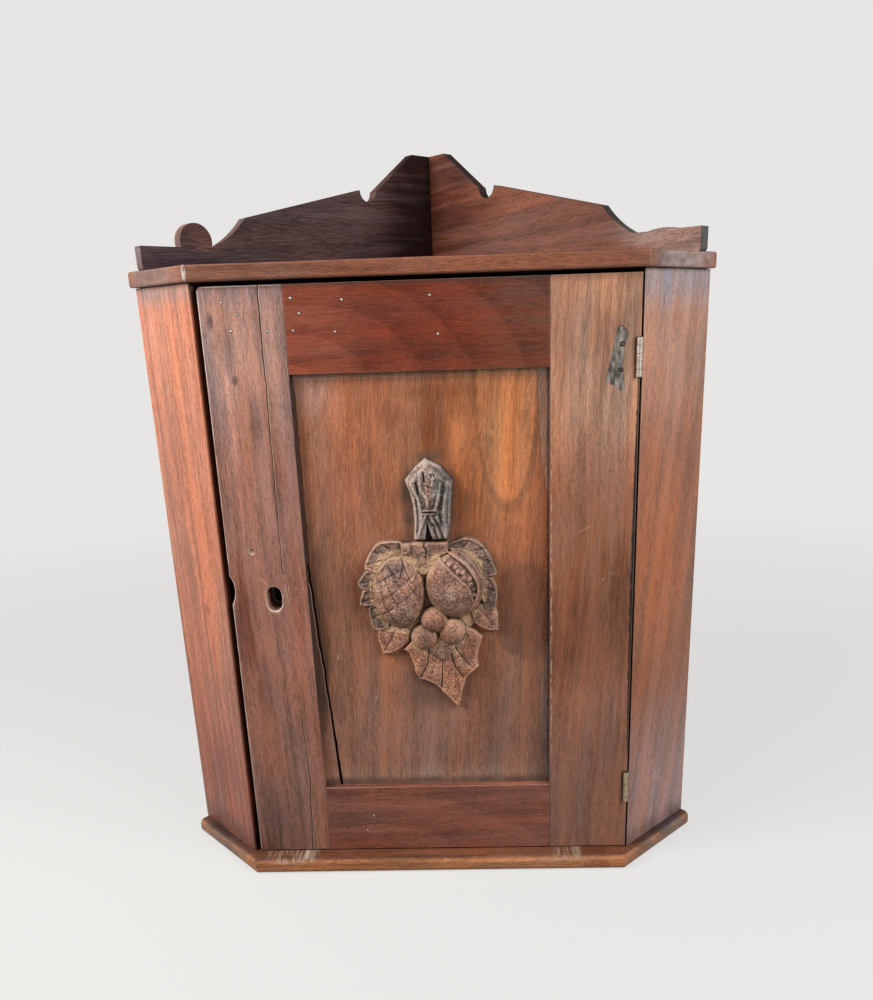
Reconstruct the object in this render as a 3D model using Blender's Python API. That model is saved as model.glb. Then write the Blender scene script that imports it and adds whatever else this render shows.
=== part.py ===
"""Small hanging corner cabinet with a panelled door, a carved fruit pull and a shaped gallery.

Frame: +Z up, front towards -Y, room corner towards +Y. The origin is the middle of the footprint, on
the surface under the base board. Lengths are in metres.
Front coordinates, used for the door: x from the middle, y back from the front plane, z above the base.
Wall coordinates: along a wall from the room corner, inward from the wall, z above the base.
"""
import math

import bmesh
import bpy
from mathutils import Matrix

# Fits
FIT_GAP = 0.0003           # between pieces that seat on each other
OVERLAP = 0.0010           # how far shapes run into each other before they are united or cut

# Carcass boards
FRONT_WIDTH = 0.3060       # between the two front arrises
RETURN_WIDTH = 0.0800      # canted side boards, square to the walls
CARCASS_HEIGHT = 0.4425    # clear height between base board and top board
RETURN_THICK = 0.0110
BACK_THICK = 0.0100
BASE_THICK = 0.0130
BASE_OVERHANG = 0.0135     # past the front
BASE_SIDE_OVERHANG = 0.0075  # past the canted returns
BASE_NOSE = 0.0045         # rounding of the base board's front edges
TOP_THICK = 0.0110
TOP_OVERHANG = 0.0045
TOP_EASE = 0.0015

# Gallery boards: heights are above the top board, distances run from the room corner
GALLERY_THICK = 0.0095
GALLERY_LENGTH = 0.2930
PEAK_HEIGHT = 0.1000
PEAK_LENGTH = 0.0290
NOTCH_AT = 0.0810
NOTCH_HEIGHT = 0.0675
NOTCH_RADIUS = 0.0090
COVE_START = 0.2045
COVE_START_HEIGHT = 0.0400
COVE_END = 0.2345
COVE_SAG = 0.0022
TAIL_HEIGHT = 0.0175
LOBE_AT = 0.2480
LOBE_HEIGHT = 0.0215       # middle of the round lobe
LOBE_RADIUS = 0.0132
STUB_RISE = 0.0016         # what is left of the lobe that broke off on the right
TAIL_ROUND = 0.0030

# Shelves and the cleats under them
SHELF_THICK = 0.0100
SHELF_SHARES = {"lower": 1 / 3, "upper": 2 / 3}  # of the clear height, up to the undersides
SHELF_CLEAR = 0.0006       # between the shut door and the shelf edges that stop it
CLEAT_SIZE = 0.0120
CLEAT_START = 0.0400
CLEAT_LENGTH = 0.1900

# Door frame and panel
DOOR_THICK = 0.0190
DOOR_SET_BACK = 0.0003
DOOR_GAP_LOCK = 0.0050
DOOR_GAP_HINGE = 0.0015
DOOR_GAP_TOP = 0.0030
DOOR_GAP_BOTTOM = 0.0010
LOCK_STILE_WIDTH = 0.0577
HINGE_STILE_WIDTH = 0.0612
TOP_RAIL_WIDTH = 0.0590
BOTTOM_RAIL_WIDTH = 0.0570
PANEL_THICK = 0.0080
PANEL_SET_BACK = 0.0060    # from the face of the frame
GROOVE_DEPTH = 0.0080
PANEL_FLOAT = 0.0010       # room for the panel to swell in its grooves
TENON_LENGTH = 0.0360
TENON_HAUNCH = 0.0150      # height of the short haunch at the rail's outer edge
SPLIT_DROP = 0.1305        # from the opening's top to the old split, which runs to the lower edge
SPLIT_INSET_TOP = 0.0008   # from the lock stile's edge to the split
SPLIT_INSET_BOTTOM = 0.0130
SPLIT_WIDTH = 0.0026

# Keyhole and the bite worn out of the door's edge beside it
KEY_BACKSET = 0.0320
KEYHOLE_DROP = 0.0028      # its middle below the middle of the carcass
KEYHOLE_WIDTH = 0.0114
KEYHOLE_HEIGHT = 0.0190
BITE_RISE = 0.0075         # its middle above the middle of the keyhole
BITE_LENGTH = 0.0220
BITE_DEPTH = 0.0030
BITE_BACK = 0.0100         # how far the bite goes back from the door's face

# Butt hinges
LOWER_HINGE_RISE = 0.0558  # middle of the lower hinge above the base
UPPER_HINGE_DROP = 0.0574  # middle of the upper hinge below the top board
HINGE_LENGTH = 0.0262
KNUCKLE_COUNT = 5
KNUCKLE_RADIUS = 0.0022
PIN_RADIUS = 0.0011
LEAF_THICK = 0.00095
LEAF_DEPTH = 0.0110
HINGE_PROUD = 0.0007       # the pin's middle stands this far in front of the front plane
KNUCKLE_ROOM = 0.0011      # free space round the knuckles in the door's edge

# Back-spring lock on the inside of the door
LOCK_WIDTH = 0.0540
LOCK_HEIGHT = 0.0400
LOCK_DEPTH = 0.0088
LOCK_PLATE = 0.0012
LOCK_INSET = 0.0004
LOCK_RISE = 0.0030         # middle of the lock above the key's axis
LOCK_KEYHOLE_TRIM = 0.0036  # the lock's own keyhole is this much narrower than the door's
BOLT_HEIGHT = 0.0100
BOLT_THICK = 0.0040
BOLT_LENGTH = 0.0505
BOLT_RISE = 0.0060         # lower edge of the bolt above the key's axis
BOLT_THROW = 0.0090
TALON_WIDTH = 0.0080
TALON_DEPTH = 0.0045
STUMP_SIZE = 0.0030
STUMP_FROM_TAIL = 0.0120
SPRING_START = 0.0120      # from the tip of the bolt
SPRING_LENGTH = 0.0340
SPRING_THICK = 0.0006
SPRING_WIDTH = 0.0030

# Carved pull: places are (x, z) from the middle of the seam between its two pieces
SEAM_OFFSET = 0.0033       # to the right of the cabinet's middle
SEAM_RISE = 0.0410         # above the middle of the panel
STEM_DEPTH = 0.0125
STEM_EDGE = 0.0028
STEM_TIP = (-0.0025, 0.0600)
STEM_SHOULDER = 0.0176
STEM_SHOULDER_AT = 0.0438
STEM_WAIST = 0.0126
STEM_WAIST_AT = 0.0220
STEM_FOOT = 0.0131
STEM_HOLLOW_WIDTH = 0.0048
STEM_HOLLOW_HEIGHT = 0.0140
BAR_LEFT = -0.0234
BAR_RIGHT = 0.0125
BAR_HEIGHT = 0.0160
BAR_DEPTH = 0.0095
LEAF_DOME = 0.0068
LEAF_PLATE = 0.0065
LEAF_EDGE = 0.0018
BERRY_RADIUS = 0.0098
DOME_LIFT = 0.0013         # middle of the fruits and lobes in front of the panel
BERRY_LIFT = 0.0060        # the same for a berry
CARVING_UNIT = 0.0010      # the tables of the carving below count in this length
OVAL_FRUIT = ((-25.2, -36.9), (20.4, 16.2, 27.6))
SPLIT_FRUIT = ((16.1, -33.7), (22.4, 17.5, 26.1))
BERRIES = ((-0.1, -61.3), (-8.1, -74.6), (13.6, -70.8))
LEAF_LOBES = (
    ((-37.0, -17.0), (14.0, 14.0)),
    ((-44.0, -37.0), (12.0, 15.0)),
    ((-40.0, -58.0), (9.6, 12.5)),
    ((33.0, -18.0), (15.3, 19.0)),
    ((36.0, -42.0), (12.2, 14.0)),
)
POINTED_LEAVES = (
    ((-44.3, -69.8), (-42.2, -80.0), (-39.6, -89.6), (-28.2, -86.9), (-19.7, -80.5),
     (-17.0, -64.0), (-38.0, -60.0)),
    ((30.0, -52.0), (45.9, -54.1), (48.1, -59.8), (48.3, -72.3), (36.4, -72.0),
     (24.0, -61.0)),
    ((-24.1, -86.3), (-18.8, -91.5), (-16.2, -107.9), (-12.2, -111.7), (-3.3, -114.9),
     (15.4, -134.5), (22.3, -114.7), (32.3, -102.2), (33.0, -87.6), (36.3, -76.0),
     (31.0, -64.0), (-14.0, -74.0)),
)

# Roundness of arcs and of turned forms
ARC_STEPS = 8
ROUND_SIDES = 20
DOME_SIDES = 24
DOME_RINGS = 14

# Finishes: colour, roughness, metallic
RED_WALNUT = ((0.205, 0.060, 0.030), 0.42, 0.0)
BROWN_WALNUT = ((0.180, 0.068, 0.036), 0.45, 0.0)
PANEL_WALNUT = ((0.235, 0.088, 0.036), 0.42, 0.0)
DARK_WALNUT = ((0.110, 0.045, 0.032), 0.50, 0.0)
EDGE_WALNUT = ((0.190, 0.075, 0.035), 0.48, 0.0)
INSIDE_PINE = ((0.320, 0.185, 0.095), 0.70, 0.0)
CARVED_STEM = ((0.120, 0.082, 0.066), 0.50, 0.0)
CARVED_FRUIT = ((0.150, 0.075, 0.054), 0.50, 0.0)
STEEL = ((0.420, 0.370, 0.300), 0.40, 1.0)
BRASS = ((0.480, 0.360, 0.200), 0.42, 1.0)
IRON = ((0.160, 0.140, 0.125), 0.55, 1.0)

# Places worked out from the sizes above
HALF_FRONT = FRONT_WIDTH / 2
RETURN_RUN = RETURN_WIDTH / math.sqrt(2)
WALL_LENGTH = math.sqrt(2) * (HALF_FRONT + RETURN_RUN)
CARCASS_DEPTH = HALF_FRONT + 2 * RETURN_RUN
FRONT_Y = (BASE_OVERHANG - CARCASS_DEPTH) / 2
REAR_Y = FRONT_Y + CARCASS_DEPTH
DOOR_LEFT = DOOR_GAP_LOCK - HALF_FRONT
DOOR_RIGHT = HALF_FRONT - DOOR_GAP_HINGE
DOOR_TOP = CARCASS_HEIGHT - DOOR_GAP_TOP
DOOR_BACK = DOOR_SET_BACK + DOOR_THICK
OPENING_LEFT = DOOR_LEFT + LOCK_STILE_WIDTH
OPENING_RIGHT = DOOR_RIGHT - HINGE_STILE_WIDTH
OPENING_BOTTOM = DOOR_GAP_BOTTOM + BOTTOM_RAIL_WIDTH
OPENING_TOP = DOOR_TOP - TOP_RAIL_WIDTH
SPLIT_TOP = OPENING_TOP - SPLIT_DROP
SEAM_AT = (SEAM_OFFSET, (OPENING_BOTTOM + OPENING_TOP) / 2 + SEAM_RISE)
SHELF_HEIGHTS = {level: share * CARCASS_HEIGHT for level, share in SHELF_SHARES.items()}
HINGE_HEIGHTS = {"lower": LOWER_HINGE_RISE, "upper": CARCASS_HEIGHT - UPPER_HINGE_DROP}
PANEL_FACE = DOOR_SET_BACK + PANEL_SET_BACK
PANEL_BACK = PANEL_FACE + PANEL_THICK
HINGE_X = HALF_FRONT - FIT_GAP - KNUCKLE_RADIUS
KEY_X = DOOR_LEFT + KEY_BACKSET
KEYHOLE_AT = CARCASS_HEIGHT / 2 - KEYHOLE_DROP
BITE_AT = KEYHOLE_AT + BITE_RISE
KEY_AXIS = KEYHOLE_AT + (KEYHOLE_HEIGHT - KEYHOLE_WIDTH) / 2
LOCK_LEFT = DOOR_LEFT + LOCK_INSET
LOCK_FRONT = DOOR_BACK + FIT_GAP
LOCK_BACK = LOCK_FRONT + LOCK_DEPTH
LOCK_BOTTOM = KEY_AXIS + LOCK_RISE - LOCK_HEIGHT / 2
BOLT_FRONT = LOCK_FRONT + LOCK_PLATE + FIT_GAP
BOLT_BOTTOM = KEY_AXIS + BOLT_RISE
BOLT_TOP = BOLT_BOTTOM + BOLT_HEIGHT
BOLT_TAIL = LOCK_LEFT + BOLT_LENGTH
STUMP_X = BOLT_TAIL - STUMP_FROM_TAIL
STUMP_Z = BOLT_BOTTOM + BOLT_HEIGHT / 2


def clear_scene():
    for old in list(bpy.data.objects):
        bpy.data.objects.remove(old, do_unlink=True)


def empty(name, location, turn=0.0):
    guide = bpy.data.objects.new(name, None)
    guide.location = location
    guide.rotation_euler = (0.0, 0.0, turn)
    bpy.context.collection.objects.link(guide)
    return guide


def finish_material(name, finish):
    colour, roughness, metallic = finish
    material = bpy.data.materials.new(name)
    material.use_nodes = True
    shader = material.node_tree.nodes["Principled BSDF"]
    shader.inputs["Base Color"].default_value = (*colour, 1.0)
    shader.inputs["Roughness"].default_value = roughness
    shader.inputs["Metallic"].default_value = metallic
    material.diffuse_color = (*colour, 1.0)
    return material


def add_object(name, shape, finish, parent, location=(0.0, 0.0, 0.0)):
    """Turn a bmesh into a named object; with no finish it becomes a cutter."""
    bmesh.ops.recalc_face_normals(shape, faces=shape.faces)
    mesh = bpy.data.meshes.new(name)
    shape.to_mesh(mesh)
    shape.free()
    piece = bpy.data.objects.new(name, mesh)
    piece.parent = parent
    piece.location = location
    bpy.context.collection.objects.link(piece)
    if finish:
        mesh.materials.append(finish_material(name, finish))
    else:
        piece.hide_render = True
        piece.display_type = "WIRE"
    return piece


def box_shape(low, high):
    size = [b - a for a, b in zip(low, high)]
    shape = bmesh.new()
    bmesh.ops.create_cube(shape, size=1.0)
    bmesh.ops.scale(shape, vec=size, verts=shape.verts)
    bmesh.ops.translate(shape, vec=[s / 2 for s in size], verts=shape.verts)
    return shape


def slab(name, low, high, finish, parent):
    """A rectangular board between two opposite corners, given in the parent's frame."""
    return add_object(name, box_shape(low, high), finish, parent, low)


def outline_shape(points, place, start, end):
    """Extrude a flat outline from start to end; place turns (u, v, depth) into a position."""
    shape = bmesh.new()
    near = [shape.verts.new(place(u, v, start)) for u, v in points]
    far = [shape.verts.new(place(u, v, end)) for u, v in points]
    shape.faces.new(near)
    shape.faces.new(far)
    for i in range(len(points)):
        j = (i + 1) % len(points)
        shape.faces.new((near[i], near[j], far[j], far[i]))
    bmesh.ops.recalc_face_normals(shape, faces=shape.faces)
    return shape


def on_plan(u, v, depth):
    return (u, v, depth)


def on_front(u, v, depth):
    return (u, depth, v)


def rod_shape(radius, length, sides=ROUND_SIDES):
    """A round bar standing on the origin."""
    shape = bmesh.new()
    bmesh.ops.create_cone(shape, cap_ends=True, segments=sides, radius1=radius, radius2=radius, depth=length)
    bmesh.ops.translate(shape, vec=(0.0, 0.0, length / 2), verts=shape.verts)
    for face in shape.faces:
        face.smooth = len(face.verts) < sides
    return shape


def ellipsoid_shape(half_axes):
    shape = bmesh.new()
    bmesh.ops.create_uvsphere(shape, u_segments=DOME_SIDES, v_segments=DOME_RINGS, radius=1.0)
    bmesh.ops.transform(shape, matrix=Matrix.Diagonal((*half_axes, 1.0)), verts=shape.verts)
    for face in shape.faces:
        face.smooth = True
    return shape


def arc(centre, radius, start, end, steps=ARC_STEPS):
    """Points on a circle between two angles in degrees."""
    points = []
    for i in range(steps + 1):
        angle = math.radians(start + (end - start) * i / steps)
        points.append((centre[0] + radius * math.cos(angle), centre[1] + radius * math.sin(angle)))
    return points


def bowed_line(start, end, sag, steps=ARC_STEPS):
    """Points from start to end, hollowed to the right of the way by sag at the middle."""
    run = (end[0] - start[0], end[1] - start[1])
    length = math.hypot(*run)
    points = []
    for i in range(steps + 1):
        t = i / steps
        bow = 4 * sag * t * (1 - t) / length
        points.append((start[0] + t * run[0] + bow * run[1], start[1] + t * run[1] - bow * run[0]))
    return points


def boolean(target, operation, *others):
    for other in others:
        modifier = target.modifiers.new(other.name, "BOOLEAN")
        modifier.operation = operation
        modifier.solver = "EXACT"
        modifier.object = other


def cut(target, *cutters):
    boolean(target, "DIFFERENCE", *cutters)


def unite(target, *others):
    boolean(target, "UNION", *others)


def plan_outline(overhang, side_overhang):
    """The five corners of the base or top board, from the room corner round the front."""
    reach = (WALL_LENGTH + side_overhang) / math.sqrt(2)
    corner = HALF_FRONT + side_overhang * math.sqrt(2) - overhang
    return [
        (0.0, REAR_Y),
        (-reach, REAR_Y - reach),
        (-corner, FRONT_Y - overhang),
        (corner, FRONT_Y - overhang),
        (reach, REAR_Y - reach),
    ]


def flat_board(name, overhangs, thick, rounding, segments, bottom, finish):
    """Base or top board: its three front edges are rounded over, above and below."""
    outline = plan_outline(*overhangs)
    shape = outline_shape(outline, on_plan, 0.0, thick)
    front = []
    for edge in shape.edges:
        ends = [vert.co for vert in edge.verts]
        level = abs(ends[0].z - ends[1].z) < thick / 2
        if level and all(end.y < REAR_Y - thick for end in ends):
            front.append(edge)
    bmesh.ops.bevel(shape, geom=front, offset=rounding, segments=segments, profile=0.5, affect="EDGES")
    return add_object(name, shape, finish, None, (0.0, 0.0, bottom))


class Wall:
    """One wall of the room corner: its boards are made in a frame turned to run along it."""

    def __init__(self, side):
        self.side = side
        self.inward = 1.0 if side == "left" else -1.0
        turn = math.radians(-135.0 if side == "left" else -45.0)
        self.frame = empty(side + "_wall", (0.0, REAR_Y, BASE_THICK), turn)

    def board(self, name, along, inward, height, finish):
        near = self.inward * inward[0]
        far = self.inward * inward[1]
        low = (along[0], min(near, far), height[0])
        high = (along[1], max(near, far), height[1])
        return slab(name + "_" + self.side, low, high, finish, self.frame)

    def flat_outline(self, name, points, height, finish):
        def place(u, v, depth):
            return (u, self.inward * v, depth)
        shape = outline_shape(points, place, height[0], height[1])
        return add_object(name + "_" + self.side, shape, finish, self.frame)

    def upright_outline(self, name, points, inward, finish):
        def place(u, v, depth):
            return (u, self.inward * depth, v)
        shape = outline_shape(points, place, inward[0], inward[1])
        return add_object(name + "_" + self.side, shape, finish, self.frame)


def gallery_outline(start, whole_lobe):
    """Side view of a gallery board: peak, notch, long slope, cove and tail."""
    foot = FIT_GAP
    points = [(start, foot), (start, PEAK_HEIGHT), (PEAK_LENGTH, PEAK_HEIGHT)]
    points += arc((NOTCH_AT, NOTCH_HEIGHT), NOTCH_RADIUS, 180.0, 360.0)
    points += bowed_line((COVE_START, COVE_START_HEIGHT), (COVE_END, TAIL_HEIGHT), COVE_SAG)
    if whole_lobe:
        dip = math.degrees(math.asin((LOBE_HEIGHT - TAIL_HEIGHT) / LOBE_RADIUS))
        points += arc((LOBE_AT, LOBE_HEIGHT), LOBE_RADIUS, 180.0 + dip, -dip, 2 * ARC_STEPS)
    else:
        stub_start = (LOBE_AT, TAIL_HEIGHT)
        stub_end = (LOBE_AT + 2 * LOBE_RADIUS, TAIL_HEIGHT)
        points += bowed_line(stub_start, stub_end, -STUB_RISE)
    tail = GALLERY_LENGTH - TAIL_ROUND
    points += [(GALLERY_LENGTH, TAIL_HEIGHT)]
    points += arc((tail, foot + TAIL_ROUND), TAIL_ROUND, 0.0, -90.0, ARC_STEPS // 2)
    return points


def build_wall(wall):
    """Back board, canted return, gallery board and shelf cleats of one side."""
    through = wall.side == "left"
    height = (FIT_GAP, CARCASS_HEIGHT - FIT_GAP)
    inner = WALL_LENGTH - RETURN_THICK
    back_start = 0.0 if through else BACK_THICK + FIT_GAP
    wall.board("back_board", (back_start, inner - FIT_GAP), (0.0, BACK_THICK), height, INSIDE_PINE)
    mitre = RETURN_WIDTH - RETURN_THICK
    return_outline = [(WALL_LENGTH, 0.0), (WALL_LENGTH, RETURN_WIDTH), (inner, mitre), (inner, 0.0)]
    wall.flat_outline("return", return_outline, height, RED_WALNUT)
    gallery_start = 0.0 if through else GALLERY_THICK + FIT_GAP
    top_face = CARCASS_HEIGHT + TOP_THICK
    outline = [(u, top_face + v) for u, v in gallery_outline(gallery_start, through)]
    wall.upright_outline("gallery", outline, (0.0, GALLERY_THICK), DARK_WALNUT)
    cleat_inward = (BACK_THICK + FIT_GAP, BACK_THICK + FIT_GAP + CLEAT_SIZE)
    for level, underside in SHELF_HEIGHTS.items():
        cleat_top = underside - FIT_GAP
        wall.board("cleat_" + level, (CLEAT_START, CLEAT_START + CLEAT_LENGTH), cleat_inward,
                   (cleat_top - CLEAT_SIZE, cleat_top), INSIDE_PINE)


def build_shelves():
    """Shelves fill the inside of the carcass and stop the door with their front edges."""
    rear = REAR_Y - math.sqrt(2) * (BACK_THICK + FIT_GAP)
    along = WALL_LENGTH - RETURN_THICK - FIT_GAP
    inward = BACK_THICK + FIT_GAP
    side_x = (along - inward) / math.sqrt(2)
    side_y = REAR_Y - (along + inward) / math.sqrt(2)
    front = FRONT_Y + DOOR_BACK + SHELF_CLEAR
    front_x = math.sqrt(2) * along - (REAR_Y - front)
    outline = [(0.0, rear), (-side_x, side_y), (-front_x, front), (front_x, front), (side_x, side_y)]
    for level, underside in SHELF_HEIGHTS.items():
        shape = outline_shape(outline, on_plan, 0.0, SHELF_THICK)
        add_object("shelf_" + level, shape, INSIDE_PINE, None, (0.0, 0.0, BASE_THICK + underside))


def door_box(name, x, y, z, door, finish=None):
    """A board or cutter of the door, from ranges in front coordinates."""
    low = (x[0] - HINGE_X, y[0] + HINGE_PROUD, z[0])
    high = (x[1] - HINGE_X, y[1] + HINGE_PROUD, z[1])
    return slab(name, low, high, finish, door)


def door_outline(name, points, depth, door, finish=None):
    """An outline in front view, extruded between two depths behind the front plane."""
    shape = outline_shape(points, on_front, depth[0], depth[1])
    return add_object(name, shape, finish, door, (-HINGE_X, HINGE_PROUD, 0.0))


def slot_outline(x, z, width, height):
    """A slot with round ends, standing upright."""
    radius = width / 2
    rise = height / 2 - radius
    return arc((x, z + rise), radius, 0.0, 180.0) + arc((x, z - rise), radius, 180.0, 360.0)


def build_rail(name, door, outer, inner):
    """A rail with a haunched tenon at each end and the panel's groove along its inner edge."""
    upward = 1.0 if outer > inner else -1.0
    left = OPENING_LEFT + FIT_GAP
    right = OPENING_RIGHT - FIT_GAP
    face = (DOOR_SET_BACK, DOOR_BACK)
    web = (PANEL_FACE, PANEL_BACK)
    rail = door_box(name, (left, right), face, sorted((outer, inner)), door, RED_WALNUT)
    tenon_z = sorted((outer - upward * TENON_HAUNCH, inner + upward * GROOVE_DEPTH))
    haunch_z = sorted((outer, inner + upward * GROOVE_DEPTH))
    for end, edge, way in (("left", left, -1.0), ("right", right, 1.0)):
        root = edge - way * OVERLAP
        tenon_x = sorted((root, edge + way * TENON_LENGTH))
        haunch_x = sorted((root, edge + way * (GROOVE_DEPTH - 2 * FIT_GAP)))
        unite(rail, door_box(name + "_tenon_" + end, tenon_x, web, tenon_z, door))
        unite(rail, door_box(name + "_haunch_" + end, haunch_x, web, haunch_z, door))
    groove_z = sorted((inner - upward * OVERLAP, inner + upward * GROOVE_DEPTH))
    groove_x = (left - TENON_LENGTH, right + TENON_LENGTH)
    groove_y = (PANEL_FACE - FIT_GAP, PANEL_BACK + FIT_GAP)
    cut(rail, door_box(name + "_groove", groove_x, groove_y, groove_z, door))


def build_stile(name, door, x, inner):
    """A full-height stile, grooved for the panel and mortised for both rails."""
    inward = 1.0 if inner > sum(x) / 2 else -1.0
    stile = door_box(name, x, (DOOR_SET_BACK, DOOR_BACK), (DOOR_GAP_BOTTOM, DOOR_TOP), door, BROWN_WALNUT)
    groove_y = (PANEL_FACE - FIT_GAP, PANEL_BACK + FIT_GAP)
    groove_x = sorted((inner + inward * OVERLAP, inner - inward * GROOVE_DEPTH))
    groove_z = (DOOR_GAP_BOTTOM - OVERLAP, DOOR_TOP + OVERLAP)
    cut(stile, door_box(name + "_groove", groove_x, groove_y, groove_z, door))
    mortise_x = sorted((inner + inward * OVERLAP, inner - inward * (TENON_LENGTH + FIT_GAP)))
    rails = (("top", DOOR_TOP - TENON_HAUNCH, OPENING_TOP + GROOVE_DEPTH),
             ("bottom", DOOR_GAP_BOTTOM + TENON_HAUNCH, OPENING_BOTTOM - GROOVE_DEPTH))
    for place, outer, inner_z in rails:
        low, high = sorted((outer, inner_z))
        mortise_z = (low - FIT_GAP, high + FIT_GAP)
        cut(stile, door_box(name + "_mortise_" + place, mortise_x, groove_y, mortise_z, door))
    return stile


def build_lock_stile(door):
    """The stile with the bare keyhole, and the bite worn out of its edge by the lock."""
    stile = build_stile("lock_stile", door, (DOOR_LEFT, OPENING_LEFT), OPENING_LEFT)
    through = (DOOR_SET_BACK - OVERLAP, DOOR_BACK + OVERLAP)
    keyhole = slot_outline(KEY_X, KEYHOLE_AT, KEYHOLE_WIDTH, KEYHOLE_HEIGHT)
    cut(stile, door_outline("lock_stile_keyhole", keyhole, through, door))
    radius = (BITE_LENGTH ** 2 / 4 + BITE_DEPTH ** 2) / (2 * BITE_DEPTH)
    centre = (DOOR_LEFT + BITE_DEPTH - radius, BITE_AT)
    bite = arc(centre, radius, 0.0, 360.0, 6 * ARC_STEPS)[:-1]
    cut(stile, door_outline("lock_stile_bite", bite, (DOOR_SET_BACK - OVERLAP, BITE_BACK), door))


def build_hinge_stile(door):
    """The stile whose edge is let in for the hinges' leaves and knuckles."""
    stile = build_stile("hinge_stile", door, (OPENING_RIGHT, DOOR_RIGHT), OPENING_RIGHT)
    outside = HALF_FRONT
    leaf_x = (HALF_FRONT - 3 * FIT_GAP - 2 * LEAF_THICK, outside)
    leaf_y = (-HINGE_PROUD, LEAF_DEPTH - HINGE_PROUD + FIT_GAP)
    room_x = (HINGE_X - KNUCKLE_RADIUS - KNUCKLE_ROOM, outside)
    room_y = (-HINGE_PROUD - OVERLAP, KNUCKLE_RADIUS + FIT_GAP - HINGE_PROUD)
    for level, height in HINGE_HEIGHTS.items():
        half = HINGE_LENGTH / 2 + FIT_GAP
        reach = (height - half, height + half)
        cut(stile, door_box("leaf_bed_" + level, leaf_x, leaf_y, reach, door))
        cut(stile, door_box("knuckle_room_" + level, room_x, room_y, reach, door))


def build_panel(door):
    """The flat panel floats in the grooves; an old split runs up from its lower edge."""
    tongue = GROOVE_DEPTH - PANEL_FLOAT
    panel = door_box("door_panel", (OPENING_LEFT - tongue, OPENING_RIGHT + tongue), (PANEL_FACE, PANEL_BACK),
                     (OPENING_BOTTOM - tongue, OPENING_TOP + tongue), door, PANEL_WALNUT)
    foot = OPENING_BOTTOM - GROOVE_DEPTH
    middle = OPENING_LEFT + SPLIT_INSET_BOTTOM
    split = [(OPENING_LEFT + SPLIT_INSET_TOP, SPLIT_TOP), (middle - SPLIT_WIDTH / 2, foot),
             (middle + SPLIT_WIDTH / 2, foot)]
    cut(panel, door_outline("panel_split", split, (PANEL_FACE - OVERLAP, PANEL_BACK + OVERLAP), door))


def build_hinge_leaf(name, parent, origin, leaf_x, knuckles, finish):
    """A leaf with its own share of the knuckles, bored for the pin; origin is on the pin's axis."""
    step = HINGE_LENGTH / KNUCKLE_COUNT
    root = KNUCKLE_RADIUS + FIT_GAP
    low = (leaf_x[0], root, -HINGE_LENGTH / 2)
    high = (leaf_x[1], LEAF_DEPTH, HINGE_LENGTH / 2)
    frame = empty(name + "_axis", origin)
    frame.parent = parent
    leaf = slab(name, low, high, finish, frame)
    for i in knuckles:
        bottom = i * step - HINGE_LENGTH / 2 + FIT_GAP / 2
        length = step - FIT_GAP
        tag = name + "_knuckle_" + str(i)
        unite(leaf, add_object(tag, rod_shape(KNUCKLE_RADIUS, length), None, frame, (0.0, 0.0, bottom)))
        arm_low = (leaf_x[0], 0.0, bottom)
        arm_high = (leaf_x[1], root + OVERLAP, bottom + length)
        unite(leaf, slab(tag + "_arm", arm_low, arm_high, None, frame))
    bore_length = HINGE_LENGTH + 2 * OVERLAP
    bore = rod_shape(PIN_RADIUS + FIT_GAP, bore_length)
    cut(leaf, add_object(name + "_bore", bore, None, frame, (0.0, 0.0, -bore_length / 2)))


def build_hinges(door):
    fixed_x = (KNUCKLE_RADIUS - LEAF_THICK, KNUCKLE_RADIUS)
    moving_x = (fixed_x[0] - FIT_GAP - LEAF_THICK, fixed_x[0] - FIT_GAP)
    for level, height in HINGE_HEIGHTS.items():
        finish = STEEL if level == "upper" else BRASS
        origin = (HINGE_X, FRONT_Y - HINGE_PROUD, BASE_THICK + height)
        build_hinge_leaf("hinge_frame_leaf_" + level, None, origin, fixed_x,
                         range(0, KNUCKLE_COUNT, 2), finish)
        build_hinge_leaf("hinge_door_leaf_" + level, door, (0.0, 0.0, height), moving_x,
                         range(1, KNUCKLE_COUNT, 2), finish)
        pin = rod_shape(PIN_RADIUS, HINGE_LENGTH)
        place = (origin[0], origin[1], origin[2] - HINGE_LENGTH / 2)
        add_object("hinge_pin_" + level, pin, IRON, None, place)


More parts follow.
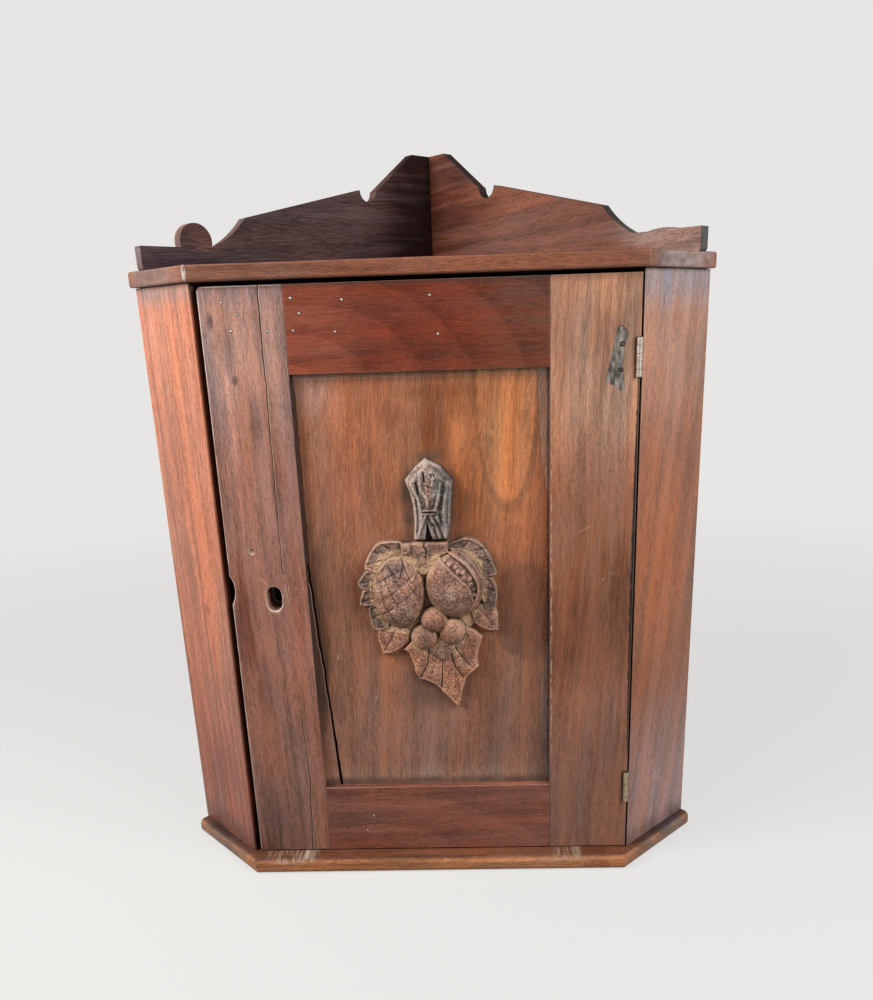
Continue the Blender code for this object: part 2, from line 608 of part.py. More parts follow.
def build_lock(door, slide):
    """Case and cap ride on the door; the bolt and its back spring ride on the slide."""
    right = LOCK_LEFT + LOCK_WIDTH
    top = LOCK_BOTTOM + LOCK_HEIGHT
    case = door_box("lock_case", (LOCK_LEFT, right), (LOCK_FRONT, LOCK_BACK), (LOCK_BOTTOM, top), door, IRON)
    cavity_x = (LOCK_LEFT + LOCK_PLATE, right - LOCK_PLATE)
    cavity_z = (LOCK_BOTTOM + LOCK_PLATE, top - LOCK_PLATE)
    floor = LOCK_FRONT + LOCK_PLATE
    cut(case, door_box("lock_cavity", cavity_x, (floor, LOCK_BACK + OVERLAP), cavity_z, door))
    stump_x = (STUMP_X - STUMP_SIZE / 2, STUMP_X + STUMP_SIZE / 2)
    stump_z = (STUMP_Z - STUMP_SIZE / 2, STUMP_Z + STUMP_SIZE / 2)
    unite(case, door_box("lock_stump", stump_x, (floor - LOCK_PLATE / 2, LOCK_BACK), stump_z, door))
    mouth_x = (LOCK_LEFT - OVERLAP, LOCK_LEFT + LOCK_PLATE + OVERLAP)
    bolt_y = (BOLT_FRONT, BOLT_FRONT + BOLT_THICK)
    mouth_y = (bolt_y[0] - FIT_GAP / 2, bolt_y[1] + FIT_GAP)
    mouth_z = (BOLT_BOTTOM - FIT_GAP, BOLT_TOP + FIT_GAP)
    cut(case, door_box("lock_mouth", mouth_x, mouth_y, mouth_z, door))
    keyhole = slot_outline(KEY_X, KEYHOLE_AT, KEYHOLE_WIDTH - LOCK_KEYHOLE_TRIM,
                           KEYHOLE_HEIGHT - LOCK_KEYHOLE_TRIM)
    cut(case, door_outline("lock_keyhole", keyhole, (LOCK_FRONT - OVERLAP, floor + OVERLAP), door))
    cap_y = (LOCK_BACK + FIT_GAP, LOCK_BACK + FIT_GAP + LOCK_PLATE)
    door_box("lock_cap", (LOCK_LEFT, right), cap_y, (LOCK_BOTTOM, top), door, IRON)

    bolt = door_box("lock_bolt", (LOCK_LEFT, BOLT_TAIL), bolt_y, (BOLT_BOTTOM, BOLT_TOP), slide, IRON)
    through = (bolt_y[0] - OVERLAP, bolt_y[1] + OVERLAP)
    talon_x = (KEY_X - TALON_WIDTH / 2, KEY_X + TALON_WIDTH / 2)
    talon_z = (BOLT_BOTTOM - OVERLAP, BOLT_BOTTOM + TALON_DEPTH)
    cut(bolt, door_box("bolt_talon", talon_x, through, talon_z, slide))
    slot_x = (stump_x[0] - FIT_GAP, stump_x[1] + BOLT_THROW + FIT_GAP)
    slot_z = (stump_z[0] - FIT_GAP, stump_z[1] + FIT_GAP)
    cut(bolt, door_box("bolt_slot", slot_x, through, slot_z, slide))
    start = (LOCK_LEFT + SPRING_START, BOLT_TOP + FIT_GAP)
    end = (start[0] + SPRING_LENGTH, start[1])
    crown = top - LOCK_PLATE - FIT_GAP - SPRING_THICK - start[1]
    lower = bowed_line(start, end, -crown)
    upper = [(u, v + SPRING_THICK) for u, v in reversed(lower)]
    spring_y = (BOLT_FRONT, BOLT_FRONT + SPRING_WIDTH)
    door_outline("lock_back_spring", lower + upper, spring_y, slide, STEEL)


def pull_place(point):
    return (point[0] + SEAM_AT[0], point[1] + SEAM_AT[1])


def carved(values):
    return tuple(value * CARVING_UNIT for value in values)


def eased_plate(outline, face, depth, easing):
    """A flat carved plate standing on the panel, its front arris rounded off."""
    shape = outline_shape(outline, on_front, face, face - depth)
    front = [edge for edge in shape.edges if all(v.co.y < face - depth / 2 for v in edge.verts)]
    bmesh.ops.bevel(shape, geom=front, offset=easing, segments=2, profile=0.5, affect="EDGES")
    return shape


def build_pull_stem(door):
    """The upper carved piece: a pointed shield, waisted, with a hollow between the ribbon ends."""
    half_hollow = STEM_HOLLOW_WIDTH / 2
    left = bowed_line((-STEM_SHOULDER, STEM_SHOULDER_AT), (-STEM_WAIST, STEM_WAIST_AT), STEM_EDGE / 2)
    outline = [STEM_TIP] + left + [(-STEM_FOOT, FIT_GAP), (-half_hollow, FIT_GAP), (0.0, STEM_HOLLOW_HEIGHT),
                                   (half_hollow, FIT_GAP), (STEM_FOOT, FIT_GAP)]
    outline += [(-u, v) for u, v in reversed(left)]
    points = [pull_place(point) for point in outline]
    shape = eased_plate(points, PANEL_FACE - FIT_GAP, STEM_DEPTH, STEM_EDGE / 2)
    add_object("pull_stem", shape, CARVED_STEM, door, (-HINGE_X, HINGE_PROUD, 0.0))


def build_pull_fruit(door):
    """The lower carved piece: two fruits and three berries on a bed of lobed and pointed leaves."""
    back = PANEL_FACE - FIT_GAP

    def dome(name, centre, half_axes, lift):
        x, z = pull_place(carved(centre))
        place = (x - HINGE_X, back - lift + HINGE_PROUD, z)
        return add_object(name, ellipsoid_shape(half_axes), None, door, place)

    def plate(name, outline, depth, finish=None):
        points = [pull_place(point) for point in outline]
        shape = eased_plate(points, back + OVERLAP, depth + OVERLAP, LEAF_EDGE)
        return add_object(name, shape, finish, door, (-HINGE_X, HINGE_PROUD, 0.0))

    bar = ((BAR_LEFT, 0.0), (BAR_RIGHT, 0.0), (BAR_RIGHT, -BAR_HEIGHT), (BAR_LEFT, -BAR_HEIGHT))
    fruit = plate("pull_fruit", bar, BAR_DEPTH, CARVED_FRUIT)
    unite(fruit, dome("pull_split_fruit", SPLIT_FRUIT[0], carved(SPLIT_FRUIT[1]), DOME_LIFT))
    unite(fruit, dome("pull_oval_fruit", OVAL_FRUIT[0], carved(OVAL_FRUIT[1]), DOME_LIFT))
    for i, outline in enumerate(POINTED_LEAVES):
        unite(fruit, plate("pull_leaf_" + str(i), [carved(point) for point in outline], LEAF_PLATE))
    for i, (centre, spread) in enumerate(LEAF_LOBES):
        half_x, half_z = carved(spread)
        unite(fruit, dome("pull_lobe_" + str(i), centre, (half_x, LEAF_DOME, half_z), DOME_LIFT))
    for i, centre in enumerate(BERRIES):
        unite(fruit, dome("pull_berry_" + str(i), centre, (BERRY_RADIUS,) * 3, BERRY_LIFT))
    reach = max(carved(SPLIT_FRUIT[1]))
    flat_x = (OPENING_LEFT, OPENING_RIGHT)
    flat_z = (OPENING_BOTTOM, OPENING_TOP)
    cut(fruit, door_box("pull_flat_back", flat_x, (back, back + 2 * reach), flat_z, door))


def main():
    clear_scene()
    base_overhangs = (BASE_OVERHANG, BASE_SIDE_OVERHANG)
    top_overhangs = (TOP_OVERHANG, TOP_OVERHANG)
    top_height = BASE_THICK + CARCASS_HEIGHT
    flat_board("base_board", base_overhangs, BASE_THICK, BASE_NOSE, 4, 0.0, EDGE_WALNUT)
    flat_board("top_board", top_overhangs, TOP_THICK, TOP_EASE, 2, top_height, EDGE_WALNUT)
    for side in ("left", "right"):
        build_wall(Wall(side))
    build_shelves()
    door = empty("door_hinge_axis", (HINGE_X, FRONT_Y - HINGE_PROUD, BASE_THICK))
    slide = empty("bolt_slide", (0.0, 0.0, 0.0))
    slide.parent = door
    build_lock_stile(door)
    build_hinge_stile(door)
    build_rail("top_rail", door, DOOR_TOP, OPENING_TOP)
    build_rail("bottom_rail", door, DOOR_GAP_BOTTOM, OPENING_BOTTOM)
    build_panel(door)
    build_hinges(door)
    build_lock(door, slide)
    build_pull_stem(door)
    build_pull_fruit(door)


main()
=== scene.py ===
import math

import bmesh
import bpy
import numpy as np
from mathutils import Matrix, Vector


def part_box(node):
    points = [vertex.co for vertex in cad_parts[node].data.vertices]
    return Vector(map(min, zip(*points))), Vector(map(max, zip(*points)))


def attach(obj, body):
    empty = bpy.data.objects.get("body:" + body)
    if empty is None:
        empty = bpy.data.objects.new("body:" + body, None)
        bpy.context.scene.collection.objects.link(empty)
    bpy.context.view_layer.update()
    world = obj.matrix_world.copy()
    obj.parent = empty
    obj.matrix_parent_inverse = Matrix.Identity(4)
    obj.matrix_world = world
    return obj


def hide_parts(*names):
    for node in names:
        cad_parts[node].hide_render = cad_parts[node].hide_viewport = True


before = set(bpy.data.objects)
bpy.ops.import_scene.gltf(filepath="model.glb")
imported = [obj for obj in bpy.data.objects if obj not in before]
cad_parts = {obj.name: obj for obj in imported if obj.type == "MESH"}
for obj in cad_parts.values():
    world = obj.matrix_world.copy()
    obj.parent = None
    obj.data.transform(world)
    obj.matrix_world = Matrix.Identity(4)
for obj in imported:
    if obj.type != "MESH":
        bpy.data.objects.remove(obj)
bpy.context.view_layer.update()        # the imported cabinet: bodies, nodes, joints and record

mm = 0.001
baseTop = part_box("base_board")[1].z          # the carcass stands on this level
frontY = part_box("return_left")[0].y          # plane of the two front arrises
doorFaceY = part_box("hinge_stile")[0].y
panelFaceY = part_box("door_panel")[0].y
wallTurn = math.radians(45)                  # the walls run at 45 degrees to the front


def front(x, y, z):      # millimetres from the middle, back from the front plane, above the base
    return Vector((x * mm, frontY + y * mm, baseTop + z * mm))


def nodeOf(name):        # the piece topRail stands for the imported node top_rail
    return "".join("_" + letter.lower() if letter.isupper() else letter for letter in name)


def addObject(name, data):
    made = bpy.data.objects.new(name, data)
    bpy.context.scene.collection.objects.link(made)
    return made


# helpers for node trees


class Nodes:             # numbers, colours or sockets go in, sockets come out
    def __init__(self, tree):
        self.tree = tree

    def plug(self, socket, value):
        if isinstance(value, bpy.types.NodeSocket):
            self.tree.links.new(value, socket)
        elif socket.type == "RGBA" and len(value) == 3:
            socket.default_value = (*value, 1)
        else:
            socket.default_value = value

    def add(self, kind, inputs=None, **settings):
        node = self.tree.nodes.new(kind)
        for name, value in settings.items():
            setattr(node, name, value)
        for name, value in (inputs or {}).items():
            self.plug(node.inputs[name], value)
        return node

    def get(self, kind, inputs=None, output=0, **settings):
        return self.add(kind, inputs, **settings).outputs[output]

    def math(self, operation, a, b=0.0, clamp=False):
        return self.get("ShaderNodeMath", {0: a, 1: b}, operation=operation, use_clamp=clamp)

    def chain(self, operation, values, clamp):
        total, last = values[0], len(values) - 1
        for i, value in enumerate(values[1:], 1):
            total = self.math(operation, total, value, clamp and i == last)
        return total

    def plus(self, *values, clamp=False):
        return self.chain("ADD", values, clamp)

    def times(self, *values, clamp=False):
        return self.chain("MULTIPLY", values, clamp)

    def vector(self, operation, a, b):
        return self.get("ShaderNodeVectorMath", {0: a, 1: b}, operation=operation)

    def length(self, vector):
        return self.get("ShaderNodeVectorMath", {0: vector}, "Value", operation="LENGTH")

    def axis(self, vector, label):
        return self.get("ShaderNodeSeparateXYZ", {0: vector}, label)

    def combine(self, x, y, z):
        return self.get("ShaderNodeCombineXYZ", {0: x, 1: y, 2: z})

    def fade(self, value, start, end, low=0.0, high=1.0):
        return self.get("ShaderNodeMapRange", {0: value, 1: start, 2: end, 3: low, 4: high},
                        interpolation_type="SMOOTHSTEP")

    def mix(self, factor, a, b, blend="MIX"):
        return self.get("ShaderNodeMix", {0: factor, 6: a, 7: b}, 2, data_type="RGBA", blend_type=blend)

    def noise(self, vector, scale, detail, rough=0.5, output="Fac"):
        return self.get("ShaderNodeTexNoise", {"Vector": vector, "Scale": scale, "Detail": detail,
                                               "Roughness": rough}, output)

    def mapped(self, vector, location=(0, 0, 0), rotation=(0, 0, 0), scale=(1, 1, 1)):
        return self.get("ShaderNodeMapping", {"Vector": vector, "Location": location, "Rotation": rotation,
                                              "Scale": scale})

    def jittered(self, place, noise, size):
        shift = self.vector("SUBTRACT", noise, (0.5, 0.5, 0.5))
        return self.vector("ADD", place, self.vector("MULTIPLY", shift, size))

    def ramp(self, factor, stops):
        node = self.add("ShaderNodeValToRGB", {0: factor})
        elements = node.color_ramp.elements
        while len(elements) < len(stops):
            elements.new(0.5)
        for element, (place, colour) in zip(elements, stops):
            element.position = place
            element.color = (*colour, 1)
        return node.outputs[0]

    def mark(self, label):             # a value painted on the mesh
        return self.get("ShaderNodeAttribute", None, "Fac", attribute_name=label)

    def coat(self, sockets, height, strength, distance, values):
        bump = self.get("ShaderNodeBump", {"Strength": strength, "Distance": distance, "Height": height})
        for label, value in {**values, "Normal": bump}.items():
            self.plug(sockets[label], value)


def newMaterial(name):                 # with its tree, its shader's sockets and its object coordinates
    material = bpy.data.materials.new(name)
    material.use_nodes = True
    tree = Nodes(material.node_tree)
    sockets = material.node_tree.nodes["Principled BSDF"].inputs
    return material, tree, sockets, tree.get("ShaderNodeTexCoord", None, "Object")


def awayFromSpot(tree, coords, along, x, z, halfX, halfZ, tilt=0.0):     # 1 on the rim of an oval on a board
    def placed(value):
        return (value, 0) if along == "X" else (0, value)

    middle = (*placed(x), z + baseTop / mm)
    halves = (*placed(halfX), halfZ)
    local = tree.mapped(coords, tuple(-m * mm for m in middle))
    if tilt:
        local = tree.mapped(local, rotation=(0, math.radians(tilt), 0))
    return tree.length(tree.mapped(local, scale=tuple(1 / (half * mm) if half else 0 for half in halves)))


# old walnut and pine


grainTurns = dict(up=(0, 0, 0), across=(0, -math.pi / 2, 0))

woodBase = dict(
    grain="up", turn=0.0, lean=(0.0, 0.0), seed=(0, 0, 0), along="X", reach=None, chipReach=None, easing=0.4,
    spacing=0.006, pith=(0.05, 0.09), ringShare=0.14, fibreShare=0.20, streakTimes=1.8, threadShare=0.56,
    threadScale=(2600, 2600, 110), blotchShare=0.36, poreDark=0.46, poreScale=(1700, 1700, 420),
    poreTint=(0.30, 0.27, 0.27), cool=(0.90, 1.01, 1.12), warm=(1.13, 0.98, 0.84), flame=None,
    stainsAndPaintedLight=(), margins=(), edgeTint=None, ledge=None, grimeAndShadeColour=(0.062, 0.040, 0.034), grimeAndShadeBands=(),
    pale=(0.60, 0.42, 0.30), paleSpots=(), scratches=(), chipScale=(800, 800, 170),
    wear=(0.42, 0.26, 0.20), wearShare=0.6, rough=0.42, spec=0.22, bump=0.4, bumpDepth=0.0004,
)

# scale across and along the grain, detail and roughness, and the part of the range that is kept
woodNoise = dict(
    fibre=dict(scale=(700, 700, 24), detail=4.0, rough=0.62, keep=(0.30, 0.70)),
    thread=dict(detail=2.0, rough=0.6, keep=(0.30, 0.70)),
    streak=dict(scale=(120, 120, 3), detail=3.0, rough=0.55, keep=(0.28, 0.72)),
    blotch=dict(scale=(26, 26, 9), detail=5.0, rough=0.62, keep=(0.30, 0.70)),
    pores=dict(detail=2.0, rough=0.5, keep=(0.54, 0.66)),
    drift=dict(scale=(44, 44, 7), detail=5.0, rough=0.66, shift=(3.1, 1.7, 0.4)),
    wander=dict(scale=(170, 170, 12), detail=4.0, rough=0.6),
    chips=dict(detail=3.0, rough=0.7, keep=(0.45, 0.60)),
)
# where a pattern starts and ends, and what it is worth there
woodFade = dict(
    streaky=(0.32, 0.64, 0.40, 1.25), calm=(0.32, 0.64, 0.72, 1.05), uneven=(0.30, 0.62, 0.7, 1.0),
    ragged=(0.28, 0.64, 0.45, 1.25), rubbed=(0.34, 0.58, 0.35, 1.0), broken=(0.34, 0.58, 0.3, 1.0),
    edge=(0.25, 0.6, 1.0, 0.0), ledge=(0.55, 0.92), arcRise=(0.0, 0.82), arcFall=(0.96, 1.0, 1.0, 0.0),
)
woodBump = dict(thread=0.5, pores=-0.9, patchy=0.5)
woodPatch = dict(scale=55.0, detail=5.0, rough=0.65)
woodGloss = dict(blotch=(0.25, 0.75), spread=(-0.07, 0.09), pores=0.15)
woodWaver = dict(scale=(14, 14, 5), detail=2.0, size=(0.016, 0.016, 0.0))        # so that no line is straight
woodRings = {"Distortion": 1.6, "Detail": 2.0, "Detail Scale": 0.6}
ringsPerSpacing = 0.314
marginFray = dict(scale=160.0, detail=3.0, size=(0.0025, 0.0025, 0.0025), hard=0.91)
flameWaver = dict(scale=16.0, detail=2.0, share=0.5)
markFade = 0.0012                      # over this depth a mark ends at its reach
paleHard, scratchHard, scratchWidth = 0.7, 0.3, 0.7
toneStops, driftStops = (0.12, 0.50, 0.88), (0.36, 0.62)


def woodTones(colour, spread=0.42, lift=0.85):       # a dark, middle and light tone round one colour
    dark = tuple(c * (1 - spread) for c in colour)
    light = tuple(min(1.0, c * (1 + lift * spread)) for c in colour)
    return list(zip(toneStops, (dark, colour, light)))


def makeWood(name, colour, **changes):
    look = {**woodBase, **changes}
    material, tree, sockets, coords = newMaterial(name)
    board = tree.mapped(coords, rotation=(0, 0, look["turn"]))
    grain = tree.mapped(board, look["seed"], grainTurns[look["grain"]])
    waver = tree.noise(tree.mapped(grain, scale=woodWaver["scale"]), 1.0, woodWaver["detail"], output="Color")
    wavy = tree.jittered(tree.mapped(grain, rotation=(*look["lean"], 0)), waver, woodWaver["size"])

    def pattern(label, place, scale=None):
        kind = woodNoise[label]
        stretched = tree.mapped(place, kind.get("shift", (0, 0, 0)), scale=scale or kind["scale"])
        value = tree.noise(stretched, 1.0, kind["detail"], kind["rough"])
        return tree.fade(value, *kind["keep"]) if "keep" in kind else value

    def faded(value, label):
        return tree.fade(value, *woodFade[label])

    def share(value, size):            # centred on nought
        return tree.times(tree.math("SUBTRACT", value, 0.5), size)

    def spot(place, x, z, halfX, halfZ, hard=0.2, tilt=0.0):
        away = awayFromSpot(tree, place, look["along"], x, z, halfX, halfZ, tilt)
        return tree.fade(away, hard, 1.0, 1.0, 0.0)

    def laid(under, masks, tint, blend="MIX", reach=look["reach"]):      # a mark on the outer side of the board
        mask = tree.times(*masks, clamp=True)
        if reach is not None:
            inside = tree.fade(tree.axis(board, "Y"), reach, reach + markFade, 1.0, 0.0)
            mask = tree.times(mask, inside, clamp=True)
        return tree.mix(mask, under, tint, blend)

    rings = tree.get("ShaderNodeTexWave", {
        "Vector": tree.mapped(wavy, (*look["pith"], 0)), "Scale": ringsPerSpacing / look["spacing"], **woodRings,
    }, "Fac", wave_type="RINGS", rings_direction="Z", wave_profile="SAW")
    fibre, streak = pattern("fibre", wavy), pattern("streak", wavy)
    thread, pores = pattern("thread", wavy, look["threadScale"]), pattern("pores", wavy, look["poreScale"])
    blotch, drift = pattern("blotch", grain), pattern("drift", wavy)
    tone = tree.plus(share(rings, look["ringShare"]), share(fibre, look["fibreShare"]),
                     share(thread, look["threadShare"]), share(streak, look["fibreShare"] * look["streakTimes"]),
                     share(blotch, look["blotchShare"]))
    if look["flame"]:                  # broad arcs of a flat-sawn board round one place
        x, z, (wide, high), strength = look["flame"]
        bent = tree.times(tree.noise(board, flameWaver["scale"], flameWaver["detail"]), flameWaver["share"])
        arcs = tree.math("FRACT", tree.plus(awayFromSpot(tree, board, "X", x, z, wide, high), bent))
        arcs = tree.times(faded(arcs, "arcRise"), faded(arcs, "arcFall"))
        tone = tree.plus(tone, share(arcs, strength))
    base = tree.ramp(tree.plus(tone, 0.5, clamp=True), woodTones(colour))
    warmth = tree.ramp(drift, list(zip(driftStops, (look["cool"], look["warm"]))))
    base = tree.mix(1.0, base, warmth, "MULTIPLY")

    patchy = tree.noise(board, **woodPatch)
    wander = pattern("wander", wavy)
    streaky, calm = faded(wander, "streaky"), faded(wander, "calm")
    # some of these are painted shadow, painted shade and painted sheen, each noted with its board
    for x, z, halfX, halfZ, tint in look["stainsAndPaintedLight"]:      # places lighter, darker, redder or greyer than the rest
        base = laid(base, [spot(board, x, z, halfX, halfZ), streaky if halfX else calm], tint, "MULTIPLY")
    if look["margins"]:                # strips with a crisp, slightly frayed edge
        fray = tree.noise(board, marginFray["scale"], marginFray["detail"], output="Color")
        frayed = tree.jittered(board, fray, marginFray["size"])
        uneven = faded(patchy, "uneven")
    for *place, tint in look["margins"]:
        base = laid(base, [spot(frayed, *place, marginFray["hard"]), uneven], tint, "MULTIPLY")
    if look["edgeTint"] or look["ledge"]:
        facing = tree.get("ShaderNodeNewGeometry", None, "Normal")
    if look["edgeTint"]:               # sawn edges of a thin board
        flat = tree.math("ABSOLUTE", tree.axis(tree.mapped(facing, rotation=(0, 0, look["turn"])), "Y"))
        base = tree.mix(faded(flat, "edge"), base, look["edgeTint"], "MULTIPLY")
    if look["ledge"]:                  # upward faces
        base = tree.mix(faded(tree.axis(facing, "Z"), "ledge"), base, look["ledge"], "MULTIPLY")
    base = tree.mix(tree.times(pores, look["poreDark"]), base, look["poreTint"], "MULTIPLY")
    ragged = faded(patchy, "ragged")
    # dark bands: some are grime, others painted shade along edges, in gaps, in a corner and under the top board
    for *place, strength in look["grimeAndShadeBands"]:
        base = laid(base, [spot(board, *place), ragged, strength], look["grimeAndShadeColour"])
    rubbed = tree.times(tree.mark("wear"), faded(patchy, "rubbed"), look["wearShare"])
    base = tree.mix(rubbed, base, look["wear"])
    chipReach = look["chipReach"] or look["reach"]
    if look["paleSpots"]:
        chips = pattern("chips", board, look["chipScale"])
    for *place, strength in look["paleSpots"]:
        base = laid(base, [spot(board, *place, paleHard), chips, strength], look["pale"], reach=chipReach)
    for x, z, half, tilt, strength in look["scratches"]:
        line = spot(board, x, z, half, scratchWidth, scratchHard, tilt)
        base = laid(base, [line, faded(patchy, "broken"), strength], look["pale"], reach=chipReach)

    gloss = tree.fade(blotch, *woodGloss["blotch"], *(look["rough"] + change for change in woodGloss["spread"]))
    rough = tree.plus(gloss, tree.times(pores, woodGloss["pores"]))
    height = tree.plus(tree.times(thread, woodBump["thread"]), tree.times(pores, woodBump["pores"]),
                       tree.times(patchy, woodBump["patchy"]))
    tree.coat(sockets, height, look["bump"], look["bumpDepth"],
              {"Base Color": base, "Roughness": rough, "Specular IOR Level": look["spec"]})
    return material


# boards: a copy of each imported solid, its arrises eased and its edges marked for wear


flatAngle, boardAngle, metalAngle, creaseAngle = (math.radians(angle) for angle in (0.6, 40, 60, 34))
weldGap = 2e-6
cutMargin = 1            # a cutter starts this many millimetres outside the wood


def cadCopy(node):
    shape = bmesh.new()
    shape.from_mesh(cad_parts[node].data)
    bmesh.ops.remove_doubles(shape, verts=shape.verts, dist=weldGap)
    bmesh.ops.dissolve_limit(shape, angle_limit=flatAngle, verts=shape.verts, edges=shape.edges)
    return shape


def easeEdges(shape, width, minAngle, wanted=None):
    wear = shape.faces.layers.float.new("wear")
    sharp = [e for e in shape.edges if len(e.link_faces) == 2 and e.is_convex
             and e.calc_face_angle(0.0) > minAngle and (wanted is None or wanted(e))]
    made = bmesh.ops.bevel(shape, geom=sharp, offset=width, segments=2, profile=0.5, affect="EDGES",
                           clamp_overlap=False)
    for face in made["faces"]:
        face[wear] = 1.0
        face.smooth = True


def meshOf(name, shape):
    mesh = bpy.data.meshes.new(name)
    shape.to_mesh(mesh)
    shape.free()
    return mesh


def addPiece(name, shape, materials, body, node):
    piece = addObject(name, meshOf(name, shape))
    for material in materials:
        piece.data.materials.append(material)
    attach(piece, body)
    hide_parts(node)


def roundedOutline(points, cuts=5):    # closed curve through the points
    count, curve = len(points), []
    p = np.array(points, float)
    for i in range(count):
        a, b, c, d = p[i - 1], p[i], p[(i + 1) % count], p[(i + 2) % count]
        for t in np.arange(cuts) / cuts:
            curve.append(tuple(0.5 * (2 * b + (c - a) * t + (2 * a - 5 * b + 4 * c - d) * t ** 2
                                      + (3 * b - a - 3 * c + d) * t ** 3)))
    return curve


def cutWith(shape, cutter, material=None):     # takes the cutter away, its faces keeping their own finish
    board, tool = pair = [addObject("cutting", meshOf("cutting", part)) for part in (shape, cutter)]
    for piece in pair:
        piece.data.materials.append(None)
        if material:
            piece.data.materials.append(material)
    cut = board.modifiers.new("cut", "BOOLEAN")
    cut.operation, cut.solver, cut.object = "DIFFERENCE", "EXACT", tool
    cut.material_mode = "TRANSFER"
    bpy.context.view_layer.update()
    result = bmesh.new()
    result.from_object(board, bpy.context.evaluated_depsgraph_get())
    for piece in pair:
        mesh = piece.data
        bpy.data.objects.remove(piece)
        bpy.data.meshes.remove(mesh)
    return result


def wanderingPath(points, step, jitter, seed):      # a path in front millimetres, broken up like torn wood
    rng = np.random.default_rng(seed)
    out = []
    for (ax, az), (bx, bz) in zip(points, points[1:]):
        count = max(2, int(math.hypot(bx - ax, bz - az) / step))
        for i in range(count):
            t = i / count
            out.append((ax + (bx - ax) * t + rng.normal() * jitter, az + (bz - az) * t))
    return out + [points[-1]]


def ribbonCutter(path, section, faceY, widths, wornSides):     # section: across, depth; widths at both ends
    shape = bmesh.new()
    wear = shape.faces.layers.float.new("wear")
    loops = []
    for i, (x, z) in enumerate(path):
        (ax, az), (bx, bz) = path[max(i - 1, 0)], path[min(i + 1, len(path) - 1)]
        length = math.hypot(bx - ax, bz - az)
        nx, nz = -(bz - az) / length, (bx - ax) / length
        if nx < 0:
            nx, nz = -nx, -nz
        width = widths[0] + (widths[1] - widths[0]) * i / (len(path) - 1)
        nx, nz = nx * width, nz * width
        loops.append([shape.verts.new(((x + nx * u) * mm, faceY + d * mm, baseTop + (z + nz * u) * mm))
                      for u, d in section])
    sides = len(section)
    for a, b in zip(loops, loops[1:]):
        for k in range(sides):
            face = shape.faces.new((a[k], a[(k + 1) % sides], b[(k + 1) % sides], b[k]))
            worn = int(k in wornSides)
            face[wear], face.material_index = worn, worn
    shape.faces.new(loops[0])
    shape.faces.new(loops[-1])
    bmesh.ops.recalc_face_normals(shape, faces=shape.faces)
    return shape


def prismCutter(outline, faceY, depth, finish=1):   # finish: which of the board's materials the cut shows
    shape = bmesh.new()
    outer, inner = ([shape.verts.new((x * mm, y, baseTop + z * mm)) for x, z in outline]
                    for y in (faceY - cutMargin * mm, faceY + depth * mm))
    shape.faces.new(outer)
    shape.faces.new(inner)
    for i in range(len(outline)):
        j = (i + 1) % len(outline)
        shape.faces.new((outer[i], outer[j], inner[j], inner[i]))
    for face in shape.faces:
        face.material_index = finish
    bmesh.ops.recalc_face_normals(shape, faces=shape.faces)
    return shape


def cornerCutter(radius, steps, depth):        # the door's upper left corner is worn round
    low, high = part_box("lock_stile")
    left, top = low.x / mm, (high.z - baseTop) / mm
    turns = [math.pi - math.pi / 2 * i / steps for i in range(steps + 1)]
    arc = [(left + radius + radius * math.cos(t), top - radius + radius * math.sin(t)) for t in turns]
    left, top = left - cutMargin, top + cutMargin
    outline = [(left, top), (left, arc[0][1]), *arc, (arc[-1][0], top)]
    return prismCutter(outline, doorFaceY, depth, finish=0)


def dentCutter(place, half):           # a small knock in the lock stile
    shape = bmesh.new()
    size = Matrix.Diagonal((*(h * mm for h in half), 1))
    middle = Matrix.Translation((place[0] * mm, doorFaceY, baseTop + place[1] * mm))
    bmesh.ops.create_icosphere(shape, subdivisions=3, radius=1, matrix=middle @ size)
    return shape


def softenRounds(shape, upright=0.05, level=0.97):      # rounded noses are drawn smooth
    for face in shape.faces:
        if upright < abs(face.normal.z) < level:
            face.smooth = True


def canBeRubbed(edge, near=2e-4):      # not the tight joints of the door frame
    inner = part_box("hinge_stile")[0].x
    return not all(abs(abs(v.co.x) - inner) < near for v in edge.verts)


doorReach = doorFaceY + 9.5 * mm             # stains of the door stop halfway through it
galleryBackY = max(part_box(node)[1].y for node in ("gallery_left", "gallery_right")) * math.cos(wallTurn)
galleryReach = galleryBackY - 1.5 * mm
